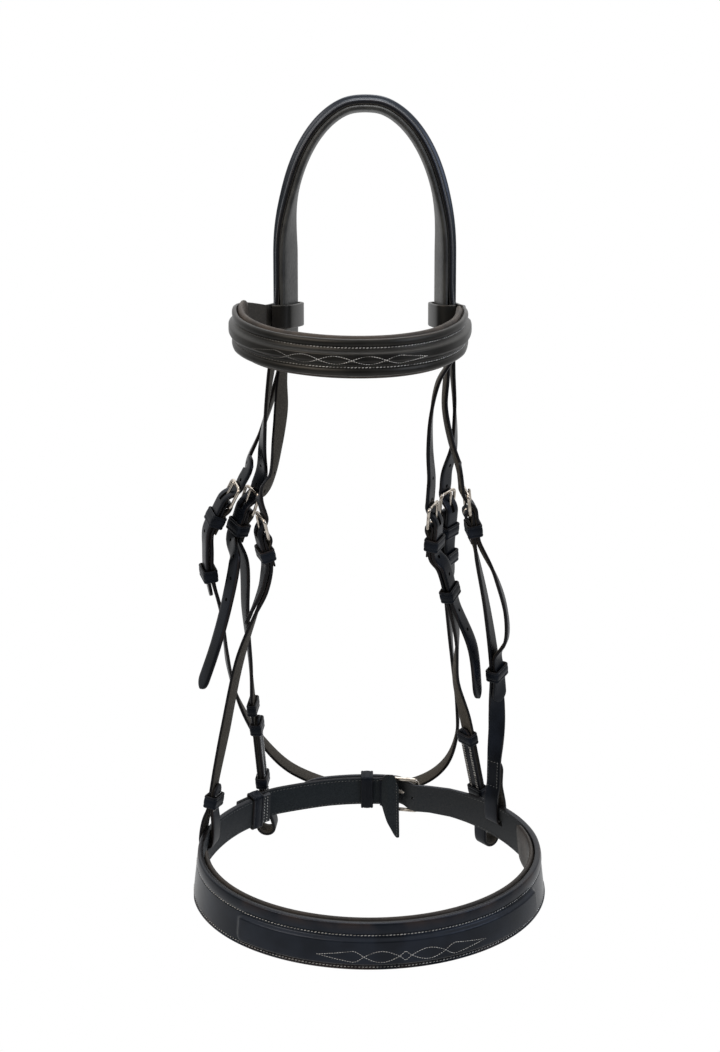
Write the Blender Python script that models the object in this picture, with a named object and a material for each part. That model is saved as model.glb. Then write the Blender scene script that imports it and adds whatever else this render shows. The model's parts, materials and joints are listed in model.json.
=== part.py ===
"""Hunter bridle, empty and hanging by its crown, as separate leather and steel pieces.

The origin is on the flat under the top of the crown, where the headstall rests.
Minus Y is the front of the horse's face, Z is up, and lengths are in metres.
"off" is the horse's right side (minus X) and "near" its left side (plus X).
"""
from collections import namedtuple
from math import asin, atan2, ceil, cos, pi, radians, sin, sqrt

import bmesh
import bpy
from mathutils import Vector

# overall layout
DROP = 0.530                # crown underside to the cheekpiece ends, the scale of all hanging routes
SPREAD = 0.100              # scale of the sideways and fore-and-aft places of the routes
GAP = 0.0003                # clearance where two pieces touch
OVERRUN = 0.004             # how far a cutter runs past what it cuts
ROUTE_STEP = 0.018          # spacing of the sections along a free stretch of strap

# strap stock
STRAP_WIDTH = 0.0127
STRAP_THICK = 0.0026
SKIVED_THICK = 0.0018       # where a strap is thinned to turn round a buckle bar
FOLD_THICK = 0.0014         # the sewn-down end behind the turn
EDGE_ROUND = 0.0006
TIP_LENGTH = 0.008          # rounded point of a billet or turned-up end

# crown
ARCH_HALF = 0.0505          # underside half width at the bottom of the arch
ARCH_HEIGHT = 0.090
POLL_FLAT_ANGLE = 8         # degrees either side of the top that stay flat
LEG_DROP = 0.153            # crown underside to the split
LEG_STEPS = 5
CROWN_GAP = 0.0005           # between the crown's layers, which twist together
CROWN_LIFT_STEPS = 3        # sections over which the crown strap's margins come down to the lining
ARCH_STEPS = 10
TWIST_FROM = 0.045
TWIST_TO = 0.098
OFF_TWIST = 15
NEAR_TWIST = 9
LINING_WIDTH_TOP = 0.042
LINING_WIDTH_LEG = 0.035
LINING_THICK = 0.0050
CROWN_WIDTH_TOP = 0.034
CROWN_WIDTH_LEG = 0.0285
CROWN_THICK = 0.0030
HEADSTRAP_WIDTH = 0.0140
HEADSTRAP_THICK = 0.0026

# browband
BROW_DROP = 0.1395
BROW_SLOPE_SHARE = 0.165    # how far the band falls for each length it runs forward
BROW_LOOP_WIDTH = 0.0165
BROW_WIDTH = 0.0240
BROW_THICK = 0.0024
BROW_RAISE = 0.0026
BROW_PAD_WIDTH = 0.0275
BROW_PAD_THICK = 0.0052
BROW_LOOP_SLACK = 0.0009

# strap buckles, one size for all six on the cheeks
WIRE = 0.0012
TONGUE_WIRE = 0.0010
BUCKLE_REACH = 0.0165
BUCKLE_SIDE_SLACK = 0.0007
BUCKLE_CORNER = 0.0030
TONGUE_SLACK = 0.0005
TONGUE_PAST = 0.0016        # how far a tongue reaches past the toe bar

# keepers
KEEPER_LENGTH = 0.0095
KEEPER_WALL = 0.0014
KEEPER_SLACK = 0.00035
RUNNING_SLACK = 0.00095

# punched holes
HOLE_RADIUS = 0.0013
HOLE_PITCH = 0.0160
HOLE_SIDES = 6

# noseband
NOSE_DROP = 0.529
NOSE_CENTRE_SHARE = 0.03
NOSE_HALF_WIDTH = 0.1235
NOSE_HALF_DEPTH = 0.0960
NOSE_TILT = 13.5
NOSE_TURN = 11.2            # degrees the leather is shifted round towards the near side
NOSE_FLARE = 7
NOSE_WIDTH = 0.0360
NOSE_REAR_WIDTH = 0.0262
NOSE_THICK = 0.0040
NOSE_RAISE = 0.0026
NOSE_PAD_THICK = 0.0045
NOSE_PAD_OVER = 0.0012      # how far the padding shows above and below the band
NOSE_END_ANGLE = 142        # off side end of the band, degrees from the front of the ring
NOSE_PAD_ANGLE = 100
SLOT_ANGLE = 117.5          # degrees round from the pattern's centre
SLOT_DOWN = 0.0145
SLOT_HALF_WIDTH = 0.0078
SLOT_HALF_HEIGHT = 0.0026
HANGER_SLACK = 0.0013

# jaw strap and its buckle
JAW_STRAP_WIDTH = 0.0254
JAW_WIRE = 0.0015
JAW_TONGUE_WIRE = 0.0012
JAW_REACH = 0.0200
JAW_BUCKLE_ANGLE = 171.5
JAW_THICK = 0.0028
JAW_TAIL_TURNS = (4.5, 9, 14, 19, 24)    # degrees past the heel bar of the sections of the tail
JAW_FOLD_TURN = 4.5          # degrees past the heel bar where the turned end stops
GUARD_HEIGHT = 0.060         # shaped tab behind the jaw buckle, between it and the horse
GUARD_THICK = 0.0022
JAW_POINT_LENGTH = 0.022
GUARD_SHARES = ((-2.8, 0.03, 0.86), (-2.0, -0.07, 0.87), (-1.0, -0.14, 0.83), (0.4, -0.15, 0.72),
                (1.9, -0.14, 0.60), (3.0, -0.08, 0.48),
                (3.7, 0.02, 0.38))    # degrees past the heel bar, top and bottom of the tab
JAW_KEEPER_TURN = 9        # degrees past the heel bar
JAW_LOOP_TURN = 6            # degrees in from the band's off side end

# cheekpiece ends
BIT_LOOP_RADIUS = 0.0063
BIT_LOOP_RISE = 0.024
BIT_END_LENGTH = 0.112
OFF_BIT_DROP = 0.545
NEAR_BIT_DROP = 0.553
OFF_BIT_ANGLE = -146.5
NEAR_BIT_ANGLE = 140.5
OFF_BIT_FACING = 98
NEAR_BIT_FACING = -128
OFF_BIT_STAND = 0.022
NEAR_BIT_STAND = 0.024

# routes: sideways and fore-and-aft places as shares of SPREAD, height as a share of DROP,
# and the way the grain side faces in degrees (0 to the front, 90 to the off side);
# the throatlatch hangs round the back of the noseband, so its fore-and-aft shares are of NOSE_HALF_DEPTH
OFF_CHEEK_BILLET_SHARES = ((-0.66, -0.10, 0.336, 102), (-0.695, -0.10, 0.387, 92), (-0.725, -0.06, 0.438, 70))
OFF_CHEEK_SEAT_SHARES = ((-0.85, 0.08, 0.528, 51), (-0.80, 0.04, 0.499, 51))
OFF_CHEEK_SHARES = ((-0.88, 0.18, 0.60, 55), (-0.88, 0.34, 0.68, 66), (-0.86, 0.56, 0.762, 80))
OFF_CHEEK_TAIL_SHARES = ((-0.93, -0.03, 0.589, 52), (-0.99, -0.04, 0.651, 55), (-1.08, -0.04, 0.713, 58),
                         (-1.16, -0.03, 0.757, 58))
OFF_THROAT_BILLET_SHARES = ((-0.59, 0.14, 0.325, 105), (-0.66, 0.16, 0.374, 100), (-0.74, 0.12, 0.419, 88),
                            (-0.83, 0.05, 0.457, 75))
OFF_THROAT_SEAT_SHARES = ((-0.99, 0.02, 0.517, 69), (-0.915, -0.01, 0.489, 69))
OFF_THROAT_SHARES = ((-1.115, 0.095, 0.583, 72), (-1.115, 0.135, 0.615, 72), (-1.06, 0.31, 0.675, 78),
                     (-1.045, 0.58, 0.735, 86, -12), (-1.03, 0.85, 0.79, 93, -30), (-0.965, 1.07, 0.849, 103, -46),
                     (-0.80, 1.19, 0.910, 122, -58), (-0.55, 1.24, 0.957, 142, -64))
THROAT_LOW_SHARES = ((0.0, 1.27, 0.990, 180, -68),)
OFF_HANGER_BILLET_SHARES = ((-0.59, 0.02, 0.352, 120), (-0.595, 0.01, 0.387, 135), (-0.62, -0.03, 0.43, 122),
                            (-0.665, -0.10, 0.479, 95))
OFF_HANGER_SEAT_SHARES = ((-0.71, -0.09, 0.557, 67), (-0.74, -0.15, 0.528, 67))
OFF_HANGER_SHARES = ((-0.715, 0.03, 0.635, 80), (-0.80, 0.06, 0.675, 98), (-0.91, 0.10, 0.735, 115),
                     (-1.035, 0.19, 0.845, 118))
NEAR_CHEEK_BILLET_SHARES = ((0.622, -0.115, 0.313, -99), (0.515, -0.155, 0.347, -94), (0.465, -0.14, 0.39, -85),
                            (0.455, -0.11, 0.438, -75), (0.47, -0.06, 0.48, -68))
NEAR_CHEEK_SEAT_SHARES = ((0.48, 0.03, 0.547, -64), (0.487, -0.02, 0.519, -64))
NEAR_CHEEK_SHARES = ((0.545, 0.12, 0.605, -62), (0.605, 0.19, 0.645, -64), (0.68, 0.34, 0.712, -78),
                     (0.69, 0.58, 0.789, -108))
NEAR_CHEEK_TAIL_SHARES = ((0.79, 0.24, 0.725, -60), (0.83, 0.27, 0.785, -64))
NEAR_THROAT_BILLET_SHARES = ((0.615, 0.10, 0.313, -99), (0.625, 0.15, 0.345, -97), (0.64, 0.17, 0.387, -90),
                             (0.635, 0.18, 0.445, -70))
NEAR_THROAT_SEAT_SHARES = ((0.59, 0.25, 0.536, -51), (0.60, 0.20, 0.506, -51))
NEAR_THROAT_SHARES = ((0.59, 0.335, 0.60, -60), (0.62, 0.50, 0.672, -72), (0.66, 0.71, 0.755, -88),
                      (0.71, 0.92, 0.83, -92, -12), (0.715, 1.05, 0.896, -100, -40), (0.63, 1.14, 0.941, -120, -56),
                      (0.45, 1.20, 0.970, -142, -64))
NEAR_HANGER_BILLET_SHARES = ((0.575, 0.03, 0.345, -100), (0.565, 0.03, 0.385, -98), (0.605, -0.04, 0.428, -96),
                             (0.665, -0.11, 0.465, -96))
NEAR_HANGER_SEAT_SHARES = ((0.73, -0.08, 0.525, -100), (0.71, -0.13, 0.494, -100))
NEAR_HANGER_SHARES = ((0.79, 0.0, 0.581, -90), (0.88, 0.16, 0.66, -76), (0.965, 0.36, 0.765, -55),
                      (0.995, 0.52, 0.852, 12))
NEAR_HANGER_TAIL_SHARES = ((0.925, 0.0, 0.612, -94), (1.02, 0.13, 0.668, -86), (1.035, 0.23, 0.715, -74))
BROW_SHARES = ((-0.825, -0.34), (-0.875, -0.56), (-0.83, -0.84), (-0.65, -1.08), (-0.36, -1.24), (-0.08, -1.30),
               (0.21, -1.26), (0.46, -1.10), (0.615, -0.86), (0.67, -0.60), (0.675, -0.37))
BROW_LIFT_SHARES = (0.14, 0.18, 0.10, 0.03, 0, 0, 0, 0, 0.02, 0.04, 0.04)    # of BROW_WIDTH

CROWN_STACK = LINING_THICK + CROWN_GAP + CROWN_THICK + CROWN_GAP + HEADSTRAP_THICK
PLY_STEP = STRAP_THICK + GAP
UP = Vector((0, 0, 1))

Knot = namedtuple("Knot", "point out width thick")
Station = namedtuple("Station", "point across out width thick")


def clear_scene():
    """Start from an empty scene."""
    for item in list(bpy.data.objects):
        bpy.data.objects.remove(item, do_unlink=True)


def make_material(name, colour, roughness, metallic):
    """One Principled material with the piece's own colour and finish."""
    material = bpy.data.materials.new(name)
    material.use_nodes = True
    shader = material.node_tree.nodes["Principled BSDF"]
    shader.inputs["Base Color"].default_value = (*colour, 1.0)
    shader.inputs["Roughness"].default_value = roughness
    shader.inputs["Metallic"].default_value = metallic
    return material


FINISHES = {
    "leather": ((0.012, 0.013, 0.016), 0.42, 0.0),
    "lining": ((0.045, 0.034, 0.026), 0.55, 0.0),
    "steel": ((0.62, 0.60, 0.57), 0.22, 1.0),
}


def add_object(name, vertices, faces, finish):
    """A closed mesh object with outward faces, smooth where the surface is round."""
    mesh = bpy.data.meshes.new(name)
    mesh.from_pydata([tuple(v) for v in vertices], [], faces)
    model = bmesh.new()
    model.from_mesh(mesh)
    bmesh.ops.recalc_face_normals(model, faces=model.faces)
    model.to_mesh(mesh)
    model.free()
    mesh.shade_smooth()
    mesh.set_sharp_from_angle(angle=radians(35))
    mesh.materials.append(make_material(name, *FINISHES[finish]))
    item = bpy.data.objects.new(name, mesh)
    bpy.context.scene.collection.objects.link(item)
    return item


def combine(item, others, operation):
    """Join or cut with helper solids, keep the result as the object's mesh, drop the helpers."""
    for other in others:
        other.hide_render = True
        other.display_type = "WIRE"
        step = item.modifiers.new(operation, "BOOLEAN")
        step.operation = operation
        step.solver = "EXACT"
        step.object = other
    bpy.context.view_layer.update()
    shape = item.evaluated_get(bpy.context.evaluated_depsgraph_get())
    result = bpy.data.meshes.new_from_object(shape)
    item.modifiers.clear()
    item.data = result
    for other in others:
        bpy.data.objects.remove(other, do_unlink=True)
    return item


def facing(degrees):
    """Level direction: 0 faces the front, 90 the off side, -90 the near side, 180 the back."""
    return Vector((-sin(radians(degrees)), -cos(radians(degrees)), 0))


def strap_section(width, thick, edge=EDGE_ROUND):
    """Flat strap with eased edges, as (across, out) points."""
    half, depth = width / 2, thick / 2
    ease = min(edge, depth * 0.6)
    return [(half, 0), (half - ease, depth), (-half + ease, depth), (-half, 0), (-half + ease, -depth),
            (half - ease, -depth)]


def pad_section(width, thick):
    """Padded strip: a fat oval."""
    half, depth = width / 2, thick / 2
    corner = depth * 0.75
    return [(half, -depth * 0.35), (half, depth * 0.35), (half - corner, depth), (-half + corner, depth),
            (-half, depth * 0.35), (-half, -depth * 0.35), (-half + corner, -depth), (half - corner, -depth)]


def raised_section(width, thick, panel, height):
    """Flat band with a raised middle panel that has rolled shoulders."""
    half, depth = width / 2, thick / 2
    ease = min(EDGE_ROUND, depth * 0.6)
    inner = panel * 0.80
    top = [(half, -depth + ease), (half, depth - ease), (half - ease, depth), (panel, depth),
           (inner, depth + height)]
    return top + [(-a, o) for a, o in reversed(top)] + [(-half + ease, -depth), (half - ease, -depth)]


def loft(rings, closed=False):
    """Vertices and faces of a tube through rings of points."""
    count = len(rings[0])
    vertices = [p for ring in rings for p in ring]
    faces = []
    spans = len(rings) if closed else len(rings) - 1
    for i in range(spans):
        here, there = i * count, ((i + 1) % len(rings)) * count
        for j in range(count):
            k = (j + 1) % count
            if j < count // 2:
                faces += [(here + j, here + k, there + k), (here + j, there + k, there + j)]
            else:
                faces += [(here + j, here + k, there + j), (here + k, there + k, there + j)]
    if not closed:
        faces.append(tuple(range(count - 1, -1, -1)))
        faces.append(tuple(range((len(rings) - 1) * count, len(rings) * count)))
    return vertices, faces


def ring_at(station, outline):
    """Place a flat outline on a station."""
    return [station.point + station.across * a + station.out * o for a, o in outline]


def sweep(name, stations, finish, section=strap_section, closed=False):
    """A strap that follows its stations."""
    rings = [ring_at(s, section(s.width, s.thick)) for s in stations]
    vertices, faces = loft(rings, closed)
    return add_object(name, vertices, faces, finish)


def catmull(p0, p1, p2, p3, t):
    """Point on the smooth curve between p1 and p2, with knots spaced by distance."""
    t0 = 0.0
    t1 = t0 + sqrt(max((p1 - p0).length, GAP))
    t2 = t1 + sqrt(max((p2 - p1).length, GAP))
    t3 = t2 + sqrt(max((p3 - p2).length, GAP))
    s = t1 + (t2 - t1) * t
    a1 = p0 * ((t1 - s) / (t1 - t0)) + p1 * ((s - t0) / (t1 - t0))
    a2 = p1 * ((t2 - s) / (t2 - t1)) + p2 * ((s - t1) / (t2 - t1))
    a3 = p2 * ((t3 - s) / (t3 - t2)) + p3 * ((s - t2) / (t3 - t2))
    b1 = a1 * ((t2 - s) / (t2 - t0)) + a2 * ((s - t0) / (t2 - t0))
    b2 = a2 * ((t3 - s) / (t3 - t1)) + a3 * ((s - t1) / (t3 - t1))
    return b1 * ((t2 - s) / (t2 - t1)) + b2 * ((s - t1) / (t2 - t1))


def follow(knots):
    """Stations of a strap through its knots, closer together where it bends."""
    points, outs, widths, thicks, marks = [], [], [], [], []
    for i in range(len(knots) - 1):
        a, b = knots[i], knots[i + 1]
        before = knots[i - 1].point if i else a.point * 2 - b.point
        after = knots[i + 2].point if i + 2 < len(knots) else b.point * 2 - a.point
        pieces = max(1, ceil((b.point - a.point).length / ROUTE_STEP))
        marks.append(len(points))
        for k in range(pieces):
            t = k / pieces
            points.append(catmull(before, a.point, b.point, after, t))
            outs.append(a.out.lerp(b.out, t))
            widths.append(a.width + (b.width - a.width) * t)
            thicks.append(a.thick + (b.thick - a.thick) * t)
    last = knots[-1]
    marks.append(len(points))
    points.append(last.point)
    outs.append(last.out)
    widths.append(last.width)
    thicks.append(last.thick)
    stations = []
    for i, point in enumerate(points):
        ahead = points[min(i + 1, len(points) - 1)]
        behind = points[max(i - 1, 0)]
        along = (ahead - behind).normalized()
        out = (outs[i] - along * outs[i].dot(along)).normalized()
        stations.append(Station(point, out.cross(along), out, widths[i], thicks[i]))
    return stations, marks


def tip(knots, length, end_share=0.35):
    """Round off the end of a strap: extra knots past its last one, ever narrower."""
    last, before = knots[-1], knots[-2]
    along = (last.point - before.point).normalized()
    result = list(knots)
    for step_share in (0.45, 0.75, 0.93, 1.0):
        narrow = max(sqrt(1 - step_share * step_share), end_share)
        result.append(Knot(last.point + along * length * step_share, last.out, last.width * narrow, last.thick))
    return result


class Seat:
    """Local axes of a buckle or a strap end: across, up the strap, and out from the horse."""

    def __init__(self, origin, up, out):
        self.origin = origin
        self.up = up.normalized()
        self.out = (out - self.up * out.dot(self.up)).normalized()
        self.across = self.up.cross(self.out)

    def at(self, across, up, out):
        return self.origin + self.across * across + self.up * up + self.out * out

    def knot(self, up, out, thick=STRAP_THICK, width=STRAP_WIDTH, face=None):
        return Knot(self.at(0, up, out), face or self.out, width, thick)

    def solid(self, name, low, high):
        """Box between two corners in local axes, for cutting."""
        corners = [self.at(x, y, z)
                   for x in (low[0], high[0]) for y in (low[1], high[1]) for z in (low[2], high[2])]
        faces = [(0, 1, 3, 2), (4, 6, 7, 5), (0, 4, 5, 1), (2, 3, 7, 6), (0, 2, 6, 4), (1, 5, 7, 3)]
        return add_object(name, corners, faces, "steel")


def place(row, depth=SPREAD):
    """World point of a route row."""
    return Vector((row[0] * SPREAD, row[1] * depth, -row[2] * DROP))


def rows(table, depth=SPREAD):
    """Knots of a route table."""
    knots = []
    for row in table:
        level = radians(row[4]) if len(row) > 4 else 0
        face = facing(row[3]) * cos(level) + UP * sin(level)
        knots.append(Knot(place(row, depth), face, STRAP_WIDTH, STRAP_THICK))
    return knots


def seat_from(table):
    """Buckle seat from a table of its heel and toe."""
    heel, toe = place(table[0]), place(table[1])
    return Seat(heel, toe - heel, facing(table[0][3]))


# layers at a strap buckle, measured out from the plane of its frame
TURN_RADIUS = WIRE + GAP + SKIVED_THICK / 2
TONGUE_RADIUS = WIRE + GAP + TONGUE_WIRE
MAIN_OUT = TURN_RADIUS + SKIVED_THICK / 2 - STRAP_THICK / 2
FOLD_OUT = MAIN_OUT - STRAP_THICK / 2 - GAP - FOLD_THICK / 2
BILLET_OUT = TONGUE_RADIUS + TONGUE_WIRE + GAP + STRAP_THICK / 2
BEHIND_OUT = -(WIRE + GAP + STRAP_THICK / 2)
FOLD_LENGTH = BUCKLE_REACH * 1.4
FIXED_KEEPER_UP = -FOLD_LENGTH * 0.36 - KEEPER_LENGTH / 2
PAIR_STEP = BILLET_OUT - MAIN_OUT
LAID_STEP = PAIR_STEP * 1.12    # a little more where both straps bend


def wire_loop(name, seat, half, reach, radius, corner):
    """Buckle frame: a closed wire with rounded corners in the seat's plane."""
    centres = ((half - corner, reach - corner, 0), (-(half - corner), reach - corner, 90),
               (-(half - corner), corner, 180), (half - corner, corner, 270))
    path = []
    for across, up, start in centres:
        for k in range(3):
            angle = radians(start + 45 * k)
            path.append((across + corner * cos(angle), up + corner * sin(angle), angle))
    rings = []
    for across, up, angle in path:
        ring = []
        for j in range(6):
            around = 2 * pi * j / 6
            flat = radius * cos(around)
            ring.append(seat.at(across + flat * cos(angle), up + flat * sin(angle), radius * sin(around)))
        rings.append(ring)
    vertices, faces = loft(rings, closed=True)
    return add_object(name, vertices, faces, "steel")


def buckle_tongue(name, seat, reach, frame_wire, wire):
    """Wire tongue curled round the heel bar, lying on the front of the toe bar; its origin is on the bar."""
    curl = frame_wire + GAP + wire
    path = []
    for degrees in range(-270, 1, 45):
        angle = radians(degrees)
        path.append((curl * sin(angle), curl * cos(angle)))
    path.append((reach * 0.5, curl))
    path.append((reach * 0.92, curl))
    path.append((reach + TONGUE_PAST, curl - GAP / 2))
    rings = []
    for i, (up, out) in enumerate(path):
        ahead = path[min(i + 1, len(path) - 1)]
        behind = path[max(i - 1, 0)]
        along = Vector((ahead[0] - behind[0], ahead[1] - behind[1])).normalized()
        taper = wire if i < len(path) - 1 else wire * 0.75
        ring = []
        for j in range(6):
            around = 2 * pi * (j + 0.5) / 6
            side, level = taper * cos(around), taper * sin(around)
            ring.append(seat.at(side, up - along.y * level, out + along.x * level))
        rings.append(ring)
    vertices, faces = loft(rings)
    item = add_object(name, [v - seat.origin for v in vertices], faces, "steel")
    item.location = seat.origin
    return item


def keeper(name, seat, up, low, high, width=STRAP_WIDTH, length=KEEPER_LENGTH, slack=KEEPER_SLACK):
    """Leather loop round everything between low and high; its origin is its middle."""
    wall = KEEPER_WALL
    half = width / 2 + slack + wall / 2
    bottom, top = low - slack - wall / 2, high + slack + wall / 2
    corner = wall * 0.8
    outline = [(half, bottom + corner), (half, top - corner), (half - corner, top), (-half + corner, top),
               (-half, top - corner), (-half, bottom + corner), (-half + corner, bottom), (half - corner, bottom)]
    middle = seat.at(0, up, (low + high) / 2)
    stations = []
    for i, (across, out) in enumerate(outline):
        ahead, behind = outline[(i + 1) % 8], outline[i - 1]
        along = (seat.across * (ahead[0] - behind[0]) + seat.out * (ahead[1] - behind[1])).normalized()
        point = seat.at(across, up, out) - middle
        stations.append(Station(point, seat.up, seat.up.cross(along), length, wall))
    item = sweep(name, stations, "leather", closed=True)
    item.location = middle
    return item


def chape(seat):
    """Knots of a strap end turned back round the heel bar and sewn down behind."""
    reach = FOLD_LENGTH
    result = [seat.knot(-reach, FOLD_OUT, FOLD_THICK),
              seat.knot(-reach * 0.55, FOLD_OUT, FOLD_THICK),
              seat.knot(-reach * 0.34, FOLD_OUT, FOLD_THICK),
              seat.knot(-reach * 0.13, -TURN_RADIUS * 0.95, SKIVED_THICK)]
    result = [Knot(k.point, -seat.out, k.width, k.thick) for k in result]
    for degrees in range(180, -1, -30):
        angle = radians(degrees)
        face = seat.up * sin(angle) + seat.out * cos(angle)
        result.append(seat.knot(TURN_RADIUS * sin(angle), TURN_RADIUS * cos(angle), SKIVED_THICK, face=face))
    result.append(seat.knot(-reach * 0.13, TURN_RADIUS, SKIVED_THICK))
    result.append(seat.knot(-reach * 0.34, MAIN_OUT))
    result.append(seat.knot(-reach, MAIN_OUT))
    return result


IN_USE = 4                  # which of the knots below lies at the tongue's hole


def through_buckle(seat):
    """Knots of a billet that comes down behind the toe bar and out over the heel bar."""
    reach = BUCKLE_REACH
    return [seat.knot(reach * 1.9, BEHIND_OUT), seat.knot(reach * 1.25, BEHIND_OUT),
            seat.knot(reach * 0.93, BEHIND_OUT), seat.knot(reach * 0.66, BEHIND_OUT * 0.2),
            seat.knot(reach * 0.42, BILLET_OUT * 0.62), seat.knot(reach * 0.2, BILLET_OUT * 0.95),
            seat.knot(0, BILLET_OUT), seat.knot(-reach * 0.5, BILLET_OUT), seat.knot(-FOLD_LENGTH, BILLET_OUT)]


def tongue_slot(name, seat, reach, wire, turn_out):
    """Cutter for the hole a tongue passes through in its billet."""
    half = wire + TONGUE_SLACK
    middle = turn_out
    return seat.solid(name, (-half, reach * 0.14, middle - half), (half, reach * 0.80, middle + half * 2.6))


def crew_hole(name, seat, curl, wire):
    """Cutter for the slit in a turned strap end where the tongue's curl sits."""
    half = wire + TONGUE_SLACK
    deep = curl + wire + TONGUE_SLACK * 2
    return seat.solid(name, (-half, -deep, -deep - OVERRUN), (half, deep + OVERRUN / 2, deep + OVERRUN))


def punch(name, point, out):
    """Cutter for a round punched hole."""
    axis = out.normalized()
    side = axis.orthogonal().normalized()
    other = axis.cross(side)
    rings = []
    for level in (-OVERRUN, OVERRUN):
        ring = []
        for j in range(HOLE_SIDES):
            around = 2 * pi * j / HOLE_SIDES
            ring.append(point + axis * level + (side * cos(around) + other * sin(around)) * HOLE_RADIUS)
        rings.append(ring)
    vertices, faces = loft(rings)
    return add_object(name, vertices, faces, "steel")


def walk(stations, start, distance):
    """Point and facing at a distance along the stations from one of them, up (+) or down (-) the list."""
    step = 1 if distance > 0 else -1
    left = abs(distance)
    i = start
    while 0 <= i + step < len(stations):
        span = (stations[i + step].point - stations[i].point).length
        if span >= left:
            t = left / span
            point = stations[i].point.lerp(stations[i + step].point, t)
            return point, stations[i].out.lerp(stations[i + step].out, t)
        left -= span
        i += step
    return None


def punch_row(name, stations, start, counts):
    """Cutters for the holes above and below the one in use."""
    cutters = []
    for count, sign in zip(counts, (-1, 1)):
        for k in range(count):
            spot = walk(stations, start, sign * HOLE_PITCH * (k + 1))
            if spot:
                cutters.append(punch(name, *spot))
    return cutters


# crown

def smooth_share(value):
    """Ease from 0 to 1."""
    value = min(max(value, 0), 1)
    return value * value * (3 - 2 * value)


def crown_line():
    """Middle of the crown's stack from the off split over the poll to the near split."""
    flat = radians(90 - POLL_FLAT_ANGLE)
    rise = ARCH_HEIGHT / sin(flat)
    spots = []
    for k in range(LEG_STEPS):
        height = -LEG_DROP + (LEG_DROP - ARCH_HEIGHT) * k / LEG_STEPS
        spots.append((Vector((-ARCH_HALF, 0, height)), Vector((-1, 0, 0))))
    for k in range(ARCH_STEPS + 1):
        angle = flat * k / ARCH_STEPS
        point = Vector((-ARCH_HALF * cos(angle), 0, -ARCH_HEIGHT + rise * sin(angle)))
        out = Vector((-cos(angle) * rise, 0, sin(angle) * ARCH_HALF)).normalized()
        spots.append((point, out))
    mirrored = [(Vector((-p.x, 0, p.z)), Vector((-n.x, 0, n.z))) for p, n in reversed(spots)]
    line = []
    for point, out in spots + mirrored:
        middle = point + out * CROWN_STACK / 2
        near = middle.x > 0
        full = NEAR_TWIST if near else -OFF_TWIST
        turn = radians(full) * smooth_share((-middle.z - TWIST_FROM) / (TWIST_TO - TWIST_FROM))
        twisted = Vector((out.x * cos(turn), out.x * sin(turn), out.z)).normalized()
        share = smooth_share(-middle.z / ARCH_HEIGHT)
        line.append((middle, twisted, share))
    return line


def crown_stations(low, high, width_top, width_leg):
    """Stations of one layer of the crown, between two heights in its stack."""
    line = crown_line()
    stations = []
    for i, (middle, out, share) in enumerate(line):
        ahead, behind = line[min(i + 1, len(line) - 1)][0], line[max(i - 1, 0)][0]
        along = (ahead - behind).normalized()
        out = (out - along * out.dot(along)).normalized()
        offset = (low + high) / 2 - CROWN_STACK / 2
        width = width_top + (width_leg - width_top) * share
        stations.append(Station(middle + out * offset, out.cross(along), out, width, high - low))
    return stations


def leg_end(stations, near):
    """Last station of a crown layer on one side, with the direction down the leg."""
    end = stations[-1] if near else stations[0]
    inner = stations[-2] if near else stations[1]
    return end, (end.point - inner.point).normalized()


def billet_start(stations, near, front_share, inset):
    """Knots that begin inside a crown layer and leave it going down."""
    end, down = leg_end(stations, near)
    front = end.across if end.across.y < 0 else -end.across
    base = end.point + front * front_share * (end.width - STRAP_WIDTH - GAP * 2)
    thick = end.thick - inset * 2
    return [Knot(base - down * STRAP_WIDTH, end.out, STRAP_WIDTH, thick),
            Knot(base + down * STRAP_THICK, end.out, STRAP_WIDTH, thick)]


# noseband ring

def nose_axes():
    """Side, back and up of the tilted noseband, and its middle at the top edge."""
    tilt = radians(NOSE_TILT)
    centre = Vector((NOSE_CENTRE_SHARE * SPREAD, 0, -NOSE_DROP))
    return centre, Vector((1, 0, 0)), Vector((0, cos(tilt), sin(tilt))), Vector((0, -sin(tilt), cos(tilt)))


def nose_station(degrees, width, thick, down=None, out_by=0.0):
    """Station on the ring: degrees from the front, positive to the near side."""
    centre, side, back, up = nose_axes()
    angle = radians(degrees)
    radial = (side * sin(angle) * NOSE_HALF_DEPTH - back * cos(angle) * NOSE_HALF_WIDTH).normalized()
    flare = radians(NOSE_FLARE)
    rise = up * cos(flare) - radial * sin(flare)
    out = radial * cos(flare) + up * sin(flare)
    depth = width / 2 if down is None else down
    point = centre + side * NOSE_HALF_WIDTH * sin(angle) - back * NOSE_HALF_DEPTH * cos(angle)
    return Station(point - rise * depth + out * out_by, rise, out, width, thick)


def nose_width(degrees):
    """Band height: full at the front, narrow towards the jaw buckle."""
    away = abs(degrees - NOSE_TURN)
    share = smooth_share((away - 88) / 58)
    return NOSE_WIDTH + (NOSE_REAR_WIDTH - NOSE_WIDTH) * share


def nose_raise(degrees):
    """Share of the raised panel's height along the band."""
    away = abs(degrees - NOSE_TURN)
    return 1 - smooth_share((away - 84) / 10)


def jaw_seat():
    """Seat of the buckle behind the jaw: its heel bar, with the near side as up."""
    heel = nose_station(JAW_BUCKLE_ANGLE, NOSE_REAR_WIDTH, NOSE_THICK)
    toe = nose_station(JAW_BUCKLE_ANGLE - 8, NOSE_REAR_WIDTH, NOSE_THICK)
    return Seat(heel.point, toe.point - heel.point, heel.out)


def ring_seat(degrees):
    """Seat on the narrow part of the ring, up towards the near side."""
    here = nose_station(degrees, NOSE_REAR_WIDTH, NOSE_THICK)
    ahead = nose_station(degrees - 1, NOSE_REAR_WIDTH, NOSE_THICK)
    return Seat(here.point, ahead.point - here.point, here.out)


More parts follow.
